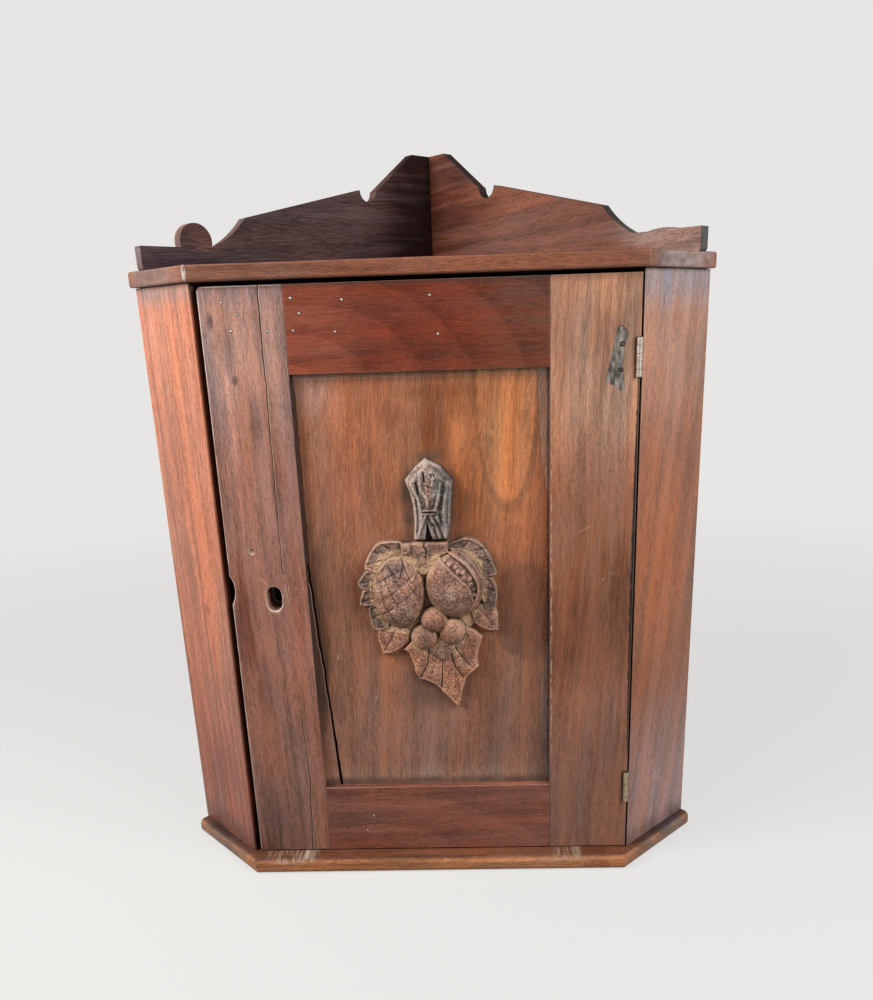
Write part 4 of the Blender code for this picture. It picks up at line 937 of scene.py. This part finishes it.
def carveStem(look):
    gable, hollow, russet, shade, eye = (look[label] for label in ("gable", "hollow", "russet", "shade", "eye"))
    relief = Relief(*look["field"])
    d = relief.plate(look["outline"], **look["plate"])
    relief.height -= gable["fall"] * (1 - rising(relief.away(gable["path"]), *gable["slope"])) * (d > 0)
    relief.russet = russet["share"] * bell(relief.round(russet["middle"], russet["half"]))
    relief.slate = rising(relief.across, *look["slate"])
    relief.cut = shade["share"] * rising(relief.across, shade["start"], shade["width"]) * (d < shade["border"])
    for label in ("folds", "grooves", "slits", "knot", "knotLine"):
        relief.strokes(**look[label], where=rising(d, *look["body"]))
    away = relief.round(eye["middle"])
    (rim, rimWidth), (pit, pitWidth), (dark, darkWidth) = eye["rim"], eye["pit"], eye["shade"]
    relief.height += rim * bell(away - eye["radius"], rimWidth) - pit * bell(away, pitWidth)
    relief.darken(dark * bell(away, darkWidth))
    d = relief.inside(hollow["outline"])
    relief.height -= np.maximum(relief.height - hollow["floor"], 0) * rising(d, *hollow["slope"])
    relief.darken(rising(d, *hollow["shade"]))
    relief.finish()
    relief.piece("pullStem", makeCarved("carvedStemWood", stemLook), "carved_stem")


fruitShape = dict(
    field=(-59, 52, -137.5, 3.5, 0.42),
    bed=[(-40, -8), (-22, -4), (10, -4), (34, -6), (40, -30), (38, -56), (20, -78), (-8, -84), (-36, -66),
         (-46, -40)],
    bedPlate=dict(edge=2.0, rise=1.2, spread=4.0),
    leaves=[[(-43.5, -68), (-43.5, -78), (-40.5, -89), (-34.5, -88.5), (-29.5, -86.5), (-20, -80), (-18, -70),
             (-31, -64.5)],
            [(46, -53), (48.5, -58.5), (48, -71.5), (42, -72), (36.5, -70.5), (30.5, -65.5), (26, -52),
             (38, -49)],
            [(-24.5, -85.5), (-20.5, -88.5), (-19, -93), (-17, -99.5), (-16.5, -104.5), (-13.5, -111),
             (-10, -111), (-6, -112.5), (-1.5, -115), (2, -119), (9, -126.5), (16, -134.5), (18.5, -128),
             (20, -120), (23, -110.5), (27, -106), (33, -101), (32, -94), (33, -86.5), (36.5, -76.5),
             (31, -71.5), (23, -67.5), (-10, -70)]],
    leafSlates=(0.15, 0.6, 0.15), leafPlate=dict(edge=3.6, rise=2.6, spread=3.4, rim=0.5, russet=1.0),
    leafVeins=[[(-4.5, -85.5), (-6.5, -97.5), (-12.5, -109)], [(5, -94.5), (4.5, -106.5), (3.5, -117.5)],
               [(11.5, -89), (14.5, -99.5), (20.5, -109)], [(15, -84), (20, -92), (26, -99)]],
    veinHollow=dict(depth=1.2, width=3.2, mark=0.0), veinLine=dict(depth=1.3, width=0.42, mark=0.75),
    lobes=[[(-20.5, -1), (-38, -1), (-46, -9), (-50.5, -19.5), (-48, -22), (-36, -24), (-20.5, -11)],
           [(-48, -22), (-52.5, -26), (-56, -31), (-55.5, -35), (-51.5, -37), (-42, -38), (-40, -24)],
           [(-51.5, -37), (-54.5, -42.5), (-55.5, -49), (-48.5, -50), (-38, -50), (-42, -38)],
           [(-48.5, -50), (-49, -57.5), (-46, -69), (-34, -66), (-38, -50)],
           [(9, -5), (19.5, 0), (27.5, 1), (38, -4.5), (44, -15), (48, -26.5), (42.5, -29), (36, -30),
            (20, -12)],
           [(42.5, -29), (46, -33), (48, -40.5), (47.5, -48), (46, -53), (38, -54), (35, -32)]],
    lobeSlates=(0.2, 1.0, 1.0, 1.0, 0.85, 1.0), lobePlate=dict(edge=4.0, rise=1.4, spread=3.6, rim=1.3),
    fineVeins=dict(depth=0.7, width=1.0, mark=0.3, paths=[
        [(-35, -9), (-44.5, -8)], [(-38, -15), (-49, -17.5)], [(-31, -6), (-36.5, -2.5)],
        [(-44, -30), (-54.5, -31.5)], [(-44.5, -44), (-54.5, -46)], [(-41, -57), (-48, -60)],
        [(30, -9), (39.5, -7)], [(35.5, -15), (45, -18)], [(24, -5), (28, 0)],
        [(39.5, -38), (47, -40)], [(38, -58), (47, -69.5)], [(-30, -70), (-39, -86)]]),
    tip=[(-4.5, -84.5), (-3.5, -88.5), (-1, -90.5), (2.5, -92.5), (5, -94.5), (8, -93.5), (10.5, -91),
         (13.5, -87), (15, -82), (6, -72)],
    tipPlate=dict(edge=6.0, rise=2.4, spread=2.6, slate=0.2),
    bar=[(-23, -1), (12.5, -1), (12.5, -9), (4, -26), (-14, -26), (-22.5, -12)],
    barPlate=dict(edge=6.4, rise=1.2, spread=1.2, slate=0.6, russet=0.5, dust=0.18),
    barCrack=dict(depth=1.6, width=0.45, mark=0.6, paths=[[(-5, -1), (-5.5, -4), (-3.5, -8), (-4.5, -13)]]),
    nub=[(-22.5, -1), (-15, -1), (-15, -8), (-18.5, -10.5), (-22, -9)],
    nubPlate=dict(edge=8.4, rise=1.6, spread=1.0, slate=0.4, dust=0.10),
    split=dict(middle=(16.5, -34), half=(22, 26), depth=15.6, lift=2.6),
    flesh=dict(edge=0.97, away=1.4, slope=0.92, below=-9, pitScale=3.9, pitSlant=2.2, pitDepth=0.16),
    rind=dict(slope=0.55, start=-4, width=9, slitStart=-1, slitWidth=-1.5, share=0.75),
    slit=[(3, -9), (9, -15.5), (16.5, -22.5), (24, -29.5), (28.5, -36), (30.5, -44.5), (33, -37), (31.5, -28.5),
          (25.5, -18.5), (17, -12), (8, -7.5)],
    slitLip=dict(rise=0.8, at=-0.9, width=0.8), slitFall=dict(depth=2.4, slope=(-0.2, 1.4)),
    slitShade=dict(share=0.22, slope=(0.1, 1.1)), slitLine=dict(share=0.55, at=0.2, width=0.5),
    seeds=[((9.5, -13.5), 2), ((13, -16), 2.5), ((17.5, -18.5), 2), ((19.5, -21.5), 2.5), ((23, -22.5), 2.5),
           ((24, -26.5), 2.5), ((27.5, -27.5), 2.5), ((28.5, -32), 2.5), ((30.5, -35.5), 2), ((31, -40), 2)],
    seed=dict(blur=6.0, sunk=1.0, rise=2.2, clean=0.75, cleanShare=0.15, ring=1.15, ringShade=0.32),
    bandLine=[(8, -5.5), (19.5, -9), (29.5, -17.5), (35, -28), (36, -38.5), (33.5, -47)],
    bandShifts=[(0, 0), (1.32, 1.76), (2.4, 3.2)], band=dict(depth=0.7, width=0.55, mark=0.6),
    oval=dict(middle=(-25.5, -39), half=(19.5, 28), depth=14.8, lift=2.6),
    ovalSlate=dict(share=0.75, slope=(-31, 13)),
    ovalHatch=[[(-10, -20.5), (-24, -33), (-40, -45.5)], [(-6.5, -29), (-21, -42.5), (-37.5, -54.5)],
               [(-6.5, -40.5), (-17, -51.5), (-31, -62.5)], [(-23.5, -20), (-33, -25.5), (-43.5, -32)],
               [(-42.5, -28), (-36, -46), (-26, -64)], [(-38.5, -17), (-29.5, -40), (-17, -62)],
               [(-29, -23), (-20, -40.5), (-11, -55)], [(-20, -25.5), (-13.5, -37), (-7, -46.5)],
               [(-10.5, -52), (-15, -58), (-19, -65)]],
    hatchHollow=dict(depth=0.40, width=2.0, mark=0.0), hatchLine=dict(depth=0.55, width=0.38, mark=0.6),
    hatchPatch=dict(seed=21, blur=9.0, contrast=19.8, least=0.25),
    petals=[[(-43.5, -24.5), (-36.5, -20), (-33.5, -14.5), (-33, -8.5), (-43, -15)],
            [(-33.5, -13), (-29, -20.5), (-24, -25), (-22, -19), (-21.5, -12), (-27, -8)],
            [(-21.5, -12), (-18, -21.5), (-14.5, -29.5), (-11, -22.5), (-8.5, -15.5), (-14.5, -10)]],
    petal=dict(rise=1.3, slope=(-0.2, 0.9), fall=0.5, fallSlope=(0, 5), clean=0.3, cleanFrom=0.3),
    petalLine=dict(share=0.7, at=-0.5, width=0.5),
    berries=[(0, -61), (-8, -74.5), (13.5, -70.5)],
    berry=dict(half=(10, 10), depth=7.8, lift=6.4, russet=0.7, slate=0.5),
    dustBeds=[((-22, -67), (12, 4)), ((-36, -12), (8, 6)), ((-6, -16), (6, 8)), ((22, -58), (10, 5))],
    dustShare=0.4, dustBelow=8,
)


def carveLeaves(relief, look):
    relief.plate(look["bed"], **look["bedPlate"])
    relief.plates(look["leaves"], look["leafSlates"], look["leafPlate"])
    relief.strokes(look["leafVeins"], **look["veinHollow"])
    relief.strokes(look["leafVeins"], **look["veinLine"])
    relief.plates([roundedOutline(lobe) for lobe in look["lobes"]], look["lobeSlates"], look["lobePlate"])
    relief.strokes(**look["fineVeins"])
    relief.plate(roundedOutline(look["tip"]), **look["tipPlate"])
    relief.plate(look["bar"], **look["barPlate"])
    relief.plate(look["nub"], **look["nubPlate"])
    relief.strokes(**look["barCrack"])


def carveSplitFruit(relief, look):     # a round fruit, burst open along a row of seeds
    flesh, rind, seed = look["flesh"], look["rind"], look["seed"]
    lip, fall, shade, line = (look[label] for label in ("slitLip", "slitFall", "slitShade", "slitLine"))
    across, up = relief.across, relief.up
    r, onSplit = relief.dome(**look["split"])
    d = relief.inside(roundedOutline(look["slit"], 4))
    pits = np.sin(across * flesh["pitScale"]) * np.sin(up * flesh["pitScale"] + across * flesh["pitSlant"])
    lower = up + across * flesh["slope"] < flesh["below"]
    onFlesh = smoothStep((r < flesh["edge"]) * (-d - flesh["away"])) * lower
    relief.height += flesh["pitDepth"] * pits * onFlesh * onSplit
    outer = rising(up + rind["slope"] * across, rind["start"], rind["width"])
    outer = outer * rising(d, rind["slitStart"], rind["slitWidth"])
    relief.slate = np.where(r < 1, rind["share"] * outer, relief.slate)
    bands = [[(x + right, z + rise) for x, z in look["bandLine"]] for right, rise in look["bandShifts"]]
    relief.strokes(bands, **look["band"], where=onSplit)
    relief.height += lip["rise"] * bell(d - lip["at"], lip["width"]) * onSplit
    relief.height -= fall["depth"] * rising(d, *fall["slope"]) * onSplit
    relief.darken(shade["share"] * rising(d, *shade["slope"]) * onSplit)
    # painted shade: a dark line just inside the slit's edge, where its wall drops
    relief.darken(line["share"] * bell(d - line["at"], line["width"]) * onSplit)
    floor = blurred(relief.height, seed["blur"]) - seed["sunk"]
    for middle, radius in look["seeds"]:
        away = relief.round(middle, (radius, radius))
        ball = floor + seed["rise"] * np.sqrt(np.clip(1 - away ** 2, 0, 1))
        relief.height = np.where(away < 1, np.maximum(ball, relief.height), relief.height)
        ringed = np.where(away < seed["ring"], np.maximum(relief.cut, seed["ringShade"]), relief.cut)
        relief.cut = np.where(away < seed["clean"], relief.cut * seed["cleanShare"], ringed)


def carveHatchedFruit(relief, look):   # an oval fruit with crossed cuts under three petals
    slate, patch, petal, line = (look[label] for label in ("ovalSlate", "hatchPatch", "petal", "petalLine"))
    r, onOval = relief.dome(**look["oval"])
    relief.slate = np.where(r < 1, slate["share"] * rising(relief.up, *slate["slope"]), relief.slate)
    patches = blurred(np.random.default_rng(patch["seed"]).normal(size=r.shape), patch["blur"])
    uneven = patch["least"] + (1 - patch["least"]) * smoothStep(0.5 + patch["contrast"] * patches)
    relief.strokes(look["ovalHatch"], **look["hatchHollow"], where=onOval)
    relief.strokes(look["ovalHatch"], **look["hatchLine"], where=onOval * uneven)
    for outline in look["petals"]:
        d = relief.inside(roundedOutline(outline, 4))
        rise = petal["rise"] * rising(d, *petal["slope"]) - petal["fall"] * rising(d, *petal["fallSlope"])
        relief.height += rise * onOval
        clean = (d > petal["cleanFrom"]) & (onOval > 0.5)
        relief.cut = np.where(clean, relief.cut * petal["clean"], relief.cut)
        # painted shadow: a dark line just outside each petal's edge
        relief.darken(line["share"] * bell(d - line["at"], line["width"]) * onOval)


def carveFruit(look):
    relief = Relief(*look["field"])
    carveLeaves(relief, look)
    carveSplitFruit(relief, look)
    carveHatchedFruit(relief, look)
    for middle in look["berries"]:
        relief.dome(middle, **look["berry"])
    for middle, half in look["dustBeds"]:
        near = bell(relief.round(middle, half)) * (relief.height < look["dustBelow"])
        relief.dust = np.maximum(relief.dust, look["dustShare"] * near)
    relief.finish()
    relief.piece("pullFruit", makeCarved("carvedFruitWood", fruitLook), "carved_fruit")


carveStem(stemShape)
carveFruit(fruitShape)
print("pull carved")

pineLook = dict(slot="inside_pine", colour=(0.43, 0.245, 0.125), threadShare=0.34, poreDark=0.15, spec=0.15,
                rough=0.6, spacing=0.005, ringShare=0.4, wear=(0.50, 0.36, 0.22), wearShare=0.4,
                cool=(0.9, 1.0, 1.08), warm=(1.08, 1.0, 0.9))
insideBoards = dict(
    backBoardLeft=dict(turn=-wallTurn, seed=(0.2, 0.9, 0.1)),
    backBoardRight=dict(turn=wallTurn, seed=(1.7, 0.3, 0.8)),
    shelfLower=dict(grain="across", seed=(0.6, 1.2, 0.3)),
    shelfUpper=dict(grain="across", seed=(2.6, 0.2, 1.3)),
    cleatLowerLeft=dict(grain="across", turn=-wallTurn, seed=(0.1, 0.2, 0.3)),
    cleatLowerRight=dict(grain="across", turn=wallTurn, seed=(0.8, 1.2, 1.3)),
    cleatUpperLeft=dict(grain="across", turn=-wallTurn, seed=(1.1, 2.2, 0.7)),
    cleatUpperRight=dict(grain="across", turn=wallTurn, seed=(1.8, 0.4, 2.3)),
)
for name, look in insideBoards.items():
    dressBoard(name, {**pineLook, **look}, "carcass")
print("inside boards dressed")

metals = dict(
    steel=dict(colour=(0.56, 0.48, 0.40), stain=(0.24, 0.18, 0.14), rough=0.24, stained=0.3),
    brass=dict(colour=(0.46, 0.36, 0.24), stain=(0.20, 0.145, 0.11), rough=0.42, stained=0.85),
    iron=dict(colour=(0.115, 0.104, 0.094), stain=(0.070, 0.042, 0.030), rough=0.5, stained=0.7),
    nailHead=dict(colour=(0.52, 0.46, 0.41), stain=(0.20, 0.15, 0.12), rough=0.42, stained=0.4),
)
nailRing = dict(colour=(0.050, 0.036, 0.030), stain=(0.022, 0.017, 0.015), rough=0.6, stained=0.8, spec=0.2)
metalNoise = dict(patchy=(330.0, 5.0, 0.66), brushed=(1.0, 3.0, 0.6))       # scale, detail and roughness
metalFade = dict(dull=(0.42, 0.64), bare=(0.1, 0.9, 1.0, 0.45), gloss=(0.3, 0.7), glossSpread=(-0.05, 0.2))
metalBrush = dict(stretch=(2600, 2600, 160), lines=[(0.3, (0.82, 0.82, 0.82)), (0.7, (1.0, 1.0, 1.0))],
                  bump=0.25, bumpDepth=0.0002)


def makeMetal(name, colour, stain, rough, stained, spec=0.5):
    material, tree, sockets, coords = newMaterial(name)
    patchy = tree.noise(coords, *metalNoise["patchy"])
    brushed = tree.noise(tree.mapped(coords, scale=metalBrush["stretch"]), *metalNoise["brushed"])
    dull = tree.times(tree.fade(patchy, *metalFade["dull"]), stained)
    lines = tree.ramp(brushed, metalBrush["lines"])
    gloss = (rough + change for change in metalFade["glossSpread"])
    tree.coat(sockets, brushed, metalBrush["bump"], metalBrush["bumpDepth"], {
        "Base Color": tree.mix(1.0, tree.mix(dull, colour, stain), lines, "MULTIPLY"),
        "Metallic": tree.fade(dull, *metalFade["bare"]),
        "Roughness": tree.fade(patchy, *metalFade["gloss"], *gloss),
        "Specular IOR Level": spec,
    })
    return material


metalFinish = {name: makeMetal(name + "Metal", **look) for name, look in metals.items()}


def dressMetal(name, body, slot, ease):
    shape = cadCopy(nodeOf(name))
    if ease:
        easeEdges(shape, ease * mm, metalAngle)
    for face in shape.faces:
        face.smooth = True
    for edge in shape.edges:
        edge.smooth = edge.calc_face_angle(0.0) < creaseAngle
    addPiece(name, shape, [metalFinish[slot]], body, nodeOf(name))


metalPieces = [          # name, body, metal and width of the eased edges
    ("hingeFrameLeafLower", "carcass", "brass", 0),
    ("hingeFrameLeafUpper", "carcass", "steel", 0),
    ("hingeDoorLeafLower", "door", "brass", 0),
    ("hingeDoorLeafUpper", "door", "steel", 0),
    ("hingePinLower", "carcass", "iron", 0.1),
    ("hingePinUpper", "carcass", "iron", 0.1),
    ("lockCase", "door", "iron", 0.25),
    ("lockCap", "door", "iron", 0.3),
    ("lockBolt", "lock_bolt", "iron", 0.25),
    ("lockBackSpring", "lock_bolt", "steel", 0.1),
]
for piece in metalPieces:
    dressMetal(*piece)
print("hinges and lock dressed")


headShape = dict(ball={"Segments": 18, "Rings": 10, "Radius": 1.0}, slotLength=3.0, leastSlot=0.00001,
                 ringRise=0.35, spin=(0.0, 6.28, 4), size=(0.85, 1.12, 11))      # ranges end in a seed


def fastenerTree():                    # a domed head with a slot, and a dark ring under it, on every point
    group = bpy.data.node_groups.new("fastenerHeads", "GeometryNodeTree")
    tree = Nodes(group)
    sockets = dict(Places="Geometry", Radius="Float", Crown="Float", Slot="Float", Ring="Float")
    for label, kind in {**sockets, "Head finish": "Material", "Ring finish": "Material"}.items():
        group.interface.new_socket(label, in_out="INPUT", socket_type="NodeSocket" + kind)
    group.interface.new_socket("Heads", in_out="OUTPUT", socket_type="NodeSocketGeometry")
    given = tree.add("NodeGroupInput").outputs
    crown, slot = given["Crown"], given["Slot"]

    def moved(geometry, **change):
        return tree.get("GeometryNodeTransform", {"Geometry": geometry, **change})

    def dome(radius, height, finish):
        ball = tree.get("GeometryNodeMeshUVSphere", headShape["ball"], "Mesh")
        shaped = moved(ball, Scale=tree.combine(radius, radius, height))
        return tree.get("GeometryNodeSetMaterial", {"Geometry": shaped, "Material": finish})

    def between(low, high, seed):
        return tree.get("FunctionNodeRandomValue", {2: low, 3: high, "Seed": seed}, 1, data_type="FLOAT")

    head = dome(given["Radius"], crown, given["Head finish"])
    slotSize = tree.combine(tree.times(given["Radius"], headShape["slotLength"]), slot, crown)
    slotBox = tree.get("GeometryNodeMeshCube", {"Size": slotSize}, "Mesh")
    slotBox = moved(slotBox, Translation=tree.combine(0.0, 0.0, crown))
    slotted = tree.get("GeometryNodeMeshBoolean", {"Mesh 1": head, "Mesh 2": slotBox}, "Mesh",
                       operation="DIFFERENCE", solver="EXACT")
    hasSlot = tree.get("FunctionNodeCompare", {0: slot, 1: headShape["leastSlot"]}, data_type="FLOAT",
                       operation="GREATER_THAN")
    either = tree.get("GeometryNodeSwitch", {"Switch": hasSlot, "False": head, "True": slotted},
                      input_type="GEOMETRY")
    ring = dome(given["Ring"], tree.times(crown, headShape["ringRise"]), given["Ring finish"])
    joined = tree.add("GeometryNodeJoinGeometry")
    for part in (either, ring):
        group.links.new(part, joined.inputs[0])
    facing = tree.get("GeometryNodeInputNamedAttribute", {"Name": "facing"}, data_type="FLOAT_VECTOR")
    turn = tree.get("FunctionNodeAlignRotationToVector", {"Vector": facing}, axis="Z")
    angle = between(*headShape["spin"])
    spin = tree.get("FunctionNodeAxisAngleToRotation", {"Axis": (0, 0, 1), "Angle": angle})
    turn = tree.get("FunctionNodeRotateRotation", {0: turn, 1: spin}, rotation_space="LOCAL")
    points = tree.get("GeometryNodeMeshToPoints", {"Mesh": given["Places"]})
    placed = tree.get("GeometryNodeInstanceOnPoints", {"Points": points, "Instance": joined.outputs[0],
                                                       "Rotation": turn, "Scale": between(*headShape["size"])})
    solid = tree.get("GeometryNodeRealizeInstances", {"Geometry": placed})
    tree.add("NodeGroupOutput", {0: tree.get("GeometryNodeSetShadeSmooth", {"Geometry": solid})})
    return group


headTree = fastenerTree()
ringFinish = makeMetal("nailRing", **nailRing)


def addFasteners(name, body, places, radius, crown, ring, finish, slot=0.0):
    mesh = bpy.data.meshes.new(name + "Places")
    mesh.from_pydata([place for place, facing in places], [], [])
    layer = mesh.attributes.new("facing", "FLOAT_VECTOR", "POINT")
    layer.data.foreach_set("vector", [c for place, facing in places for c in facing])
    holder = addObject(name + "Places", mesh)
    heads = holder.modifiers.new("heads", "NODES")
    heads.node_group = headTree
    given = {"Radius": radius * mm, "Crown": crown * mm, "Slot": slot * mm, "Ring": ring * mm,
             "Head finish": metalFinish[finish], "Ring finish": ringFinish}
    for socket in headTree.interface.items_tree:
        if socket.in_out == "INPUT" and socket.name in given:
            heads[socket.identifier] = given[socket.name]
    bpy.context.view_layer.update()
    made = bpy.data.meshes.new_from_object(holder.evaluated_get(bpy.context.evaluated_depsgraph_get()))
    made.name = name
    holder.modifiers.remove(heads)
    bpy.data.objects.remove(holder)
    bpy.data.meshes.remove(mesh)
    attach(addObject(name, made), body)


toFront, toBack, toRight, toLeft = (0, -1, 0), (0, 1, 0), (1, 0, 0), (-1, 0, 0)
doorY = (doorFaceY - frontY) / mm
pinSpots = [(-131.5, 429), (-121.5, 421), (-127, 410.5), (-102, 409.5), (-84.5, 430.5), (-79.5, 420.5),
            (-84.5, 409.5), (-56, 408), (-50, 428.5), (9.5, 429.5), (14, 404.5), (-52.5, 32), (-58.5, 18.5)]
darkSpots = [(-75, 22), (-45, 12.5)]
scarSpots = [(139, 394), (138.4, 377)]
scarDepth = 0.45
leafScrews = dict(doorX=151.42, frameX=151.78, y=6.1, rises=(-8.5, 8.5))
capInset = 0.0045
wallNailSpots = dict(heights=(8, 152.5, 300, 434), reaches=(40, 105, 170, 235))


def onDoor(spots, sunk=0.0):
    return [(front(x, doorY + sunk, z), toFront) for x, z in spots]


def onLeaves(x, facing):
    middles = [(sum(corner.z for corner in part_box(node)) / 2 - baseTop) / mm
               for node in ("hinge_pin_lower", "hinge_pin_upper")]
    return [(front(x, leafScrews["y"], z + rise), facing) for z in middles for rise in leafScrews["rises"]]


def onLockCap(inset):
    low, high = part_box("lock_cap")
    return [((x, high.y, z), toBack) for x in (low.x + inset, high.x - inset)
            for z in (low.z + inset, high.z - inset)]


def onWalls(heights, reaches):
    backY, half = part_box("base_board")[1].y, math.sqrt(0.5)
    return [((side * reach * half * mm, backY - reach * half * mm, baseTop + height * mm),
             (side * half, half, 0))
            for side in (-1, 1) for height in heights for reach in reaches]


fasteners = dict(
    doorPins=dict(body="door", places=onDoor(pinSpots), radius=0.8, crown=0.30, ring=1.1, finish="nailHead"),
    darkPins=dict(body="door", places=onDoor(darkSpots), radius=0.7, crown=0.25, ring=1.0, finish="iron"),
    scarNails=dict(body="door", places=onDoor(scarSpots, scarDepth), radius=0.95, crown=0.45, ring=1.8,
                   finish="iron"),
    doorLeafScrews=dict(body="door", places=onLeaves(leafScrews["doorX"], toRight), radius=1.9, crown=0.10,
                        slot=0.5, ring=2.1, finish="steel"),
    frameLeafScrews=dict(body="carcass", places=onLeaves(leafScrews["frameX"], toLeft), radius=1.9, crown=0.10,
                         slot=0.5, ring=2.1, finish="steel"),
    lockScrews=dict(body="door", places=onLockCap(capInset), radius=2.2, crown=0.55, slot=0.6, ring=2.4,
                    finish="iron"),
    wallNails=dict(body="carcass", places=onWalls(**wallNailSpots), radius=1.6, crown=0.25, ring=2.2,
                   finish="iron"),
)
for name, look in fasteners.items():
    addFasteners(name, **look)
print("nails and screws set")

# stage, light and camera


stageLook = dict(
    reach=1.7, bend=0.9, height=1.7, rings=28, sides=96, weld=1e-5, colour=(0.17, 0.168, 0.164), rough=0.9,
    spec=0.1, pale=dict(colour=(1.0, 0.99, 0.975), start=0.25, near=0.62, far=0.76),
)


def makeStage(reach, bend, height, rings, sides, weld, pale, **floor):
    profile = [(0.0, 0.0), (reach, 0.0)]
    for i in range(1, rings + 1):
        angle = math.pi / 2 * i / rings
        profile.append((reach + bend * math.sin(angle), bend * (1 - math.cos(angle))))
    profile.append((reach + bend, height))
    shape = bmesh.new()
    verts = [shape.verts.new((r, 0, z)) for r, z in profile]
    edges = [shape.edges.new(pair) for pair in zip(verts, verts[1:])]
    bmesh.ops.spin(shape, geom=verts + edges, cent=(0, 0, 0), axis=(0, 0, 1), angle=2 * math.pi,
                   steps=sides, use_merge=True)
    bmesh.ops.remove_doubles(shape, verts=shape.verts, dist=weld)
    bmesh.ops.recalc_face_normals(shape, faces=shape.faces)
    for face in shape.faces:
        face.smooth = True
    sweep = addObject("studioSweep", meshOf("studioSweep", shape))
    material, tree, sockets, coords = newMaterial("paleSweep")
    rays = tree.add("ShaderNodeLightPath").outputs
    seen = tree.math("MAXIMUM", rays["Is Camera Ray"], rays["Is Glossy Ray"])
    seen = tree.math("MAXIMUM", seen, rays["Is Transmission Ray"])
    glow = tree.fade(tree.length(coords), pale["start"], reach, pale["near"], pale["far"])
    for label, value in {
        "Base Color": floor["colour"], "Roughness": floor["rough"], "Specular IOR Level": floor["spec"],
        "Emission Color": pale["colour"], "Emission Strength": tree.times(seen, glow),
    }.items():
        tree.plug(sockets[label], value)
    sweep.data.materials.append(material)


lampLook = dict(
    keyLamp=dict(place=(-0.62, -0.40, 0.74), aim=(-0.02, -0.08, 0.33), size=(0.45, 0.45), power=9.0,
                 colour=(1.0, 0.975, 0.94)),
    fillLamp=dict(place=(0.74, -0.62, 0.76), aim=(0.02, -0.08, 0.33), size=(0.55, 0.55), power=8.6,
                  colour=(0.97, 0.985, 1.0)),
)


def addLamp(name, place, aim, size, power, colour):
    data = bpy.data.lights.new(name, "AREA")
    data.shape = "RECTANGLE"
    data.size, data.size_y = size
    data.energy = power
    data.color = colour
    lamp = addObject(name, data)
    lamp.location = place
    lamp.rotation_euler = (Vector(aim) - Vector(place)).to_track_quat("-Z", "Y").to_euler()
    lamp.visible_camera = False


worldLook = dict(colour=(0.96, 0.97, 1.0), strength=0.22, seen=(0.79, 0.785, 0.775))


def makeWorld(colour, strength, seen):
    world = bpy.data.worlds.new("studioWorld")
    world.use_nodes = True
    tree, nodes = Nodes(world.node_tree), world.node_tree.nodes
    light = nodes["Background"]
    tree.plug(light.inputs["Color"], colour)
    tree.plug(light.inputs["Strength"], strength)
    plain = tree.get("ShaderNodeBackground", {"Color": seen})      # what the camera sees past the floor
    ray = tree.get("ShaderNodeLightPath", None, "Is Camera Ray")
    either = tree.get("ShaderNodeMixShader", {0: ray, 1: light.outputs[0], 2: plain})
    tree.plug(nodes["World Output"].inputs["Surface"], either)
    bpy.context.scene.world = world


cameraLook = dict(
    place=(0.04203, -0.74753, 0.42517), roll=1.883, pitch=-18.17, heading=1.885, lens=31.464, sensor=36.0,
    shift=(-0.0216, 0.1082),
)


def makeCamera(place, roll, pitch, heading, lens, sensor, shift):
    data = bpy.data.cameras.new("photoCamera")
    data.lens, data.sensor_width = lens, sensor
    data.shift_x, data.shift_y = shift
    camera = addObject("photoCamera", data)
    turn = Matrix.Identity(4)
    for degrees, axis in ((heading, "Z"), (pitch, "X"), (roll, "Y"), (90, "X")):
        turn = turn @ Matrix.Rotation(math.radians(degrees), 4, axis)
    camera.matrix_world = Matrix.Translation(place) @ turn
    bpy.context.scene.camera = camera


makeStage(**stageLook)
for name, look in lampLook.items():
    addLamp(name, **look)
makeWorld(**worldLook)
bpy.context.scene.view_settings.view_transform = "Standard"
makeCamera(**cameraLook)
print("stage, lamps and camera set")
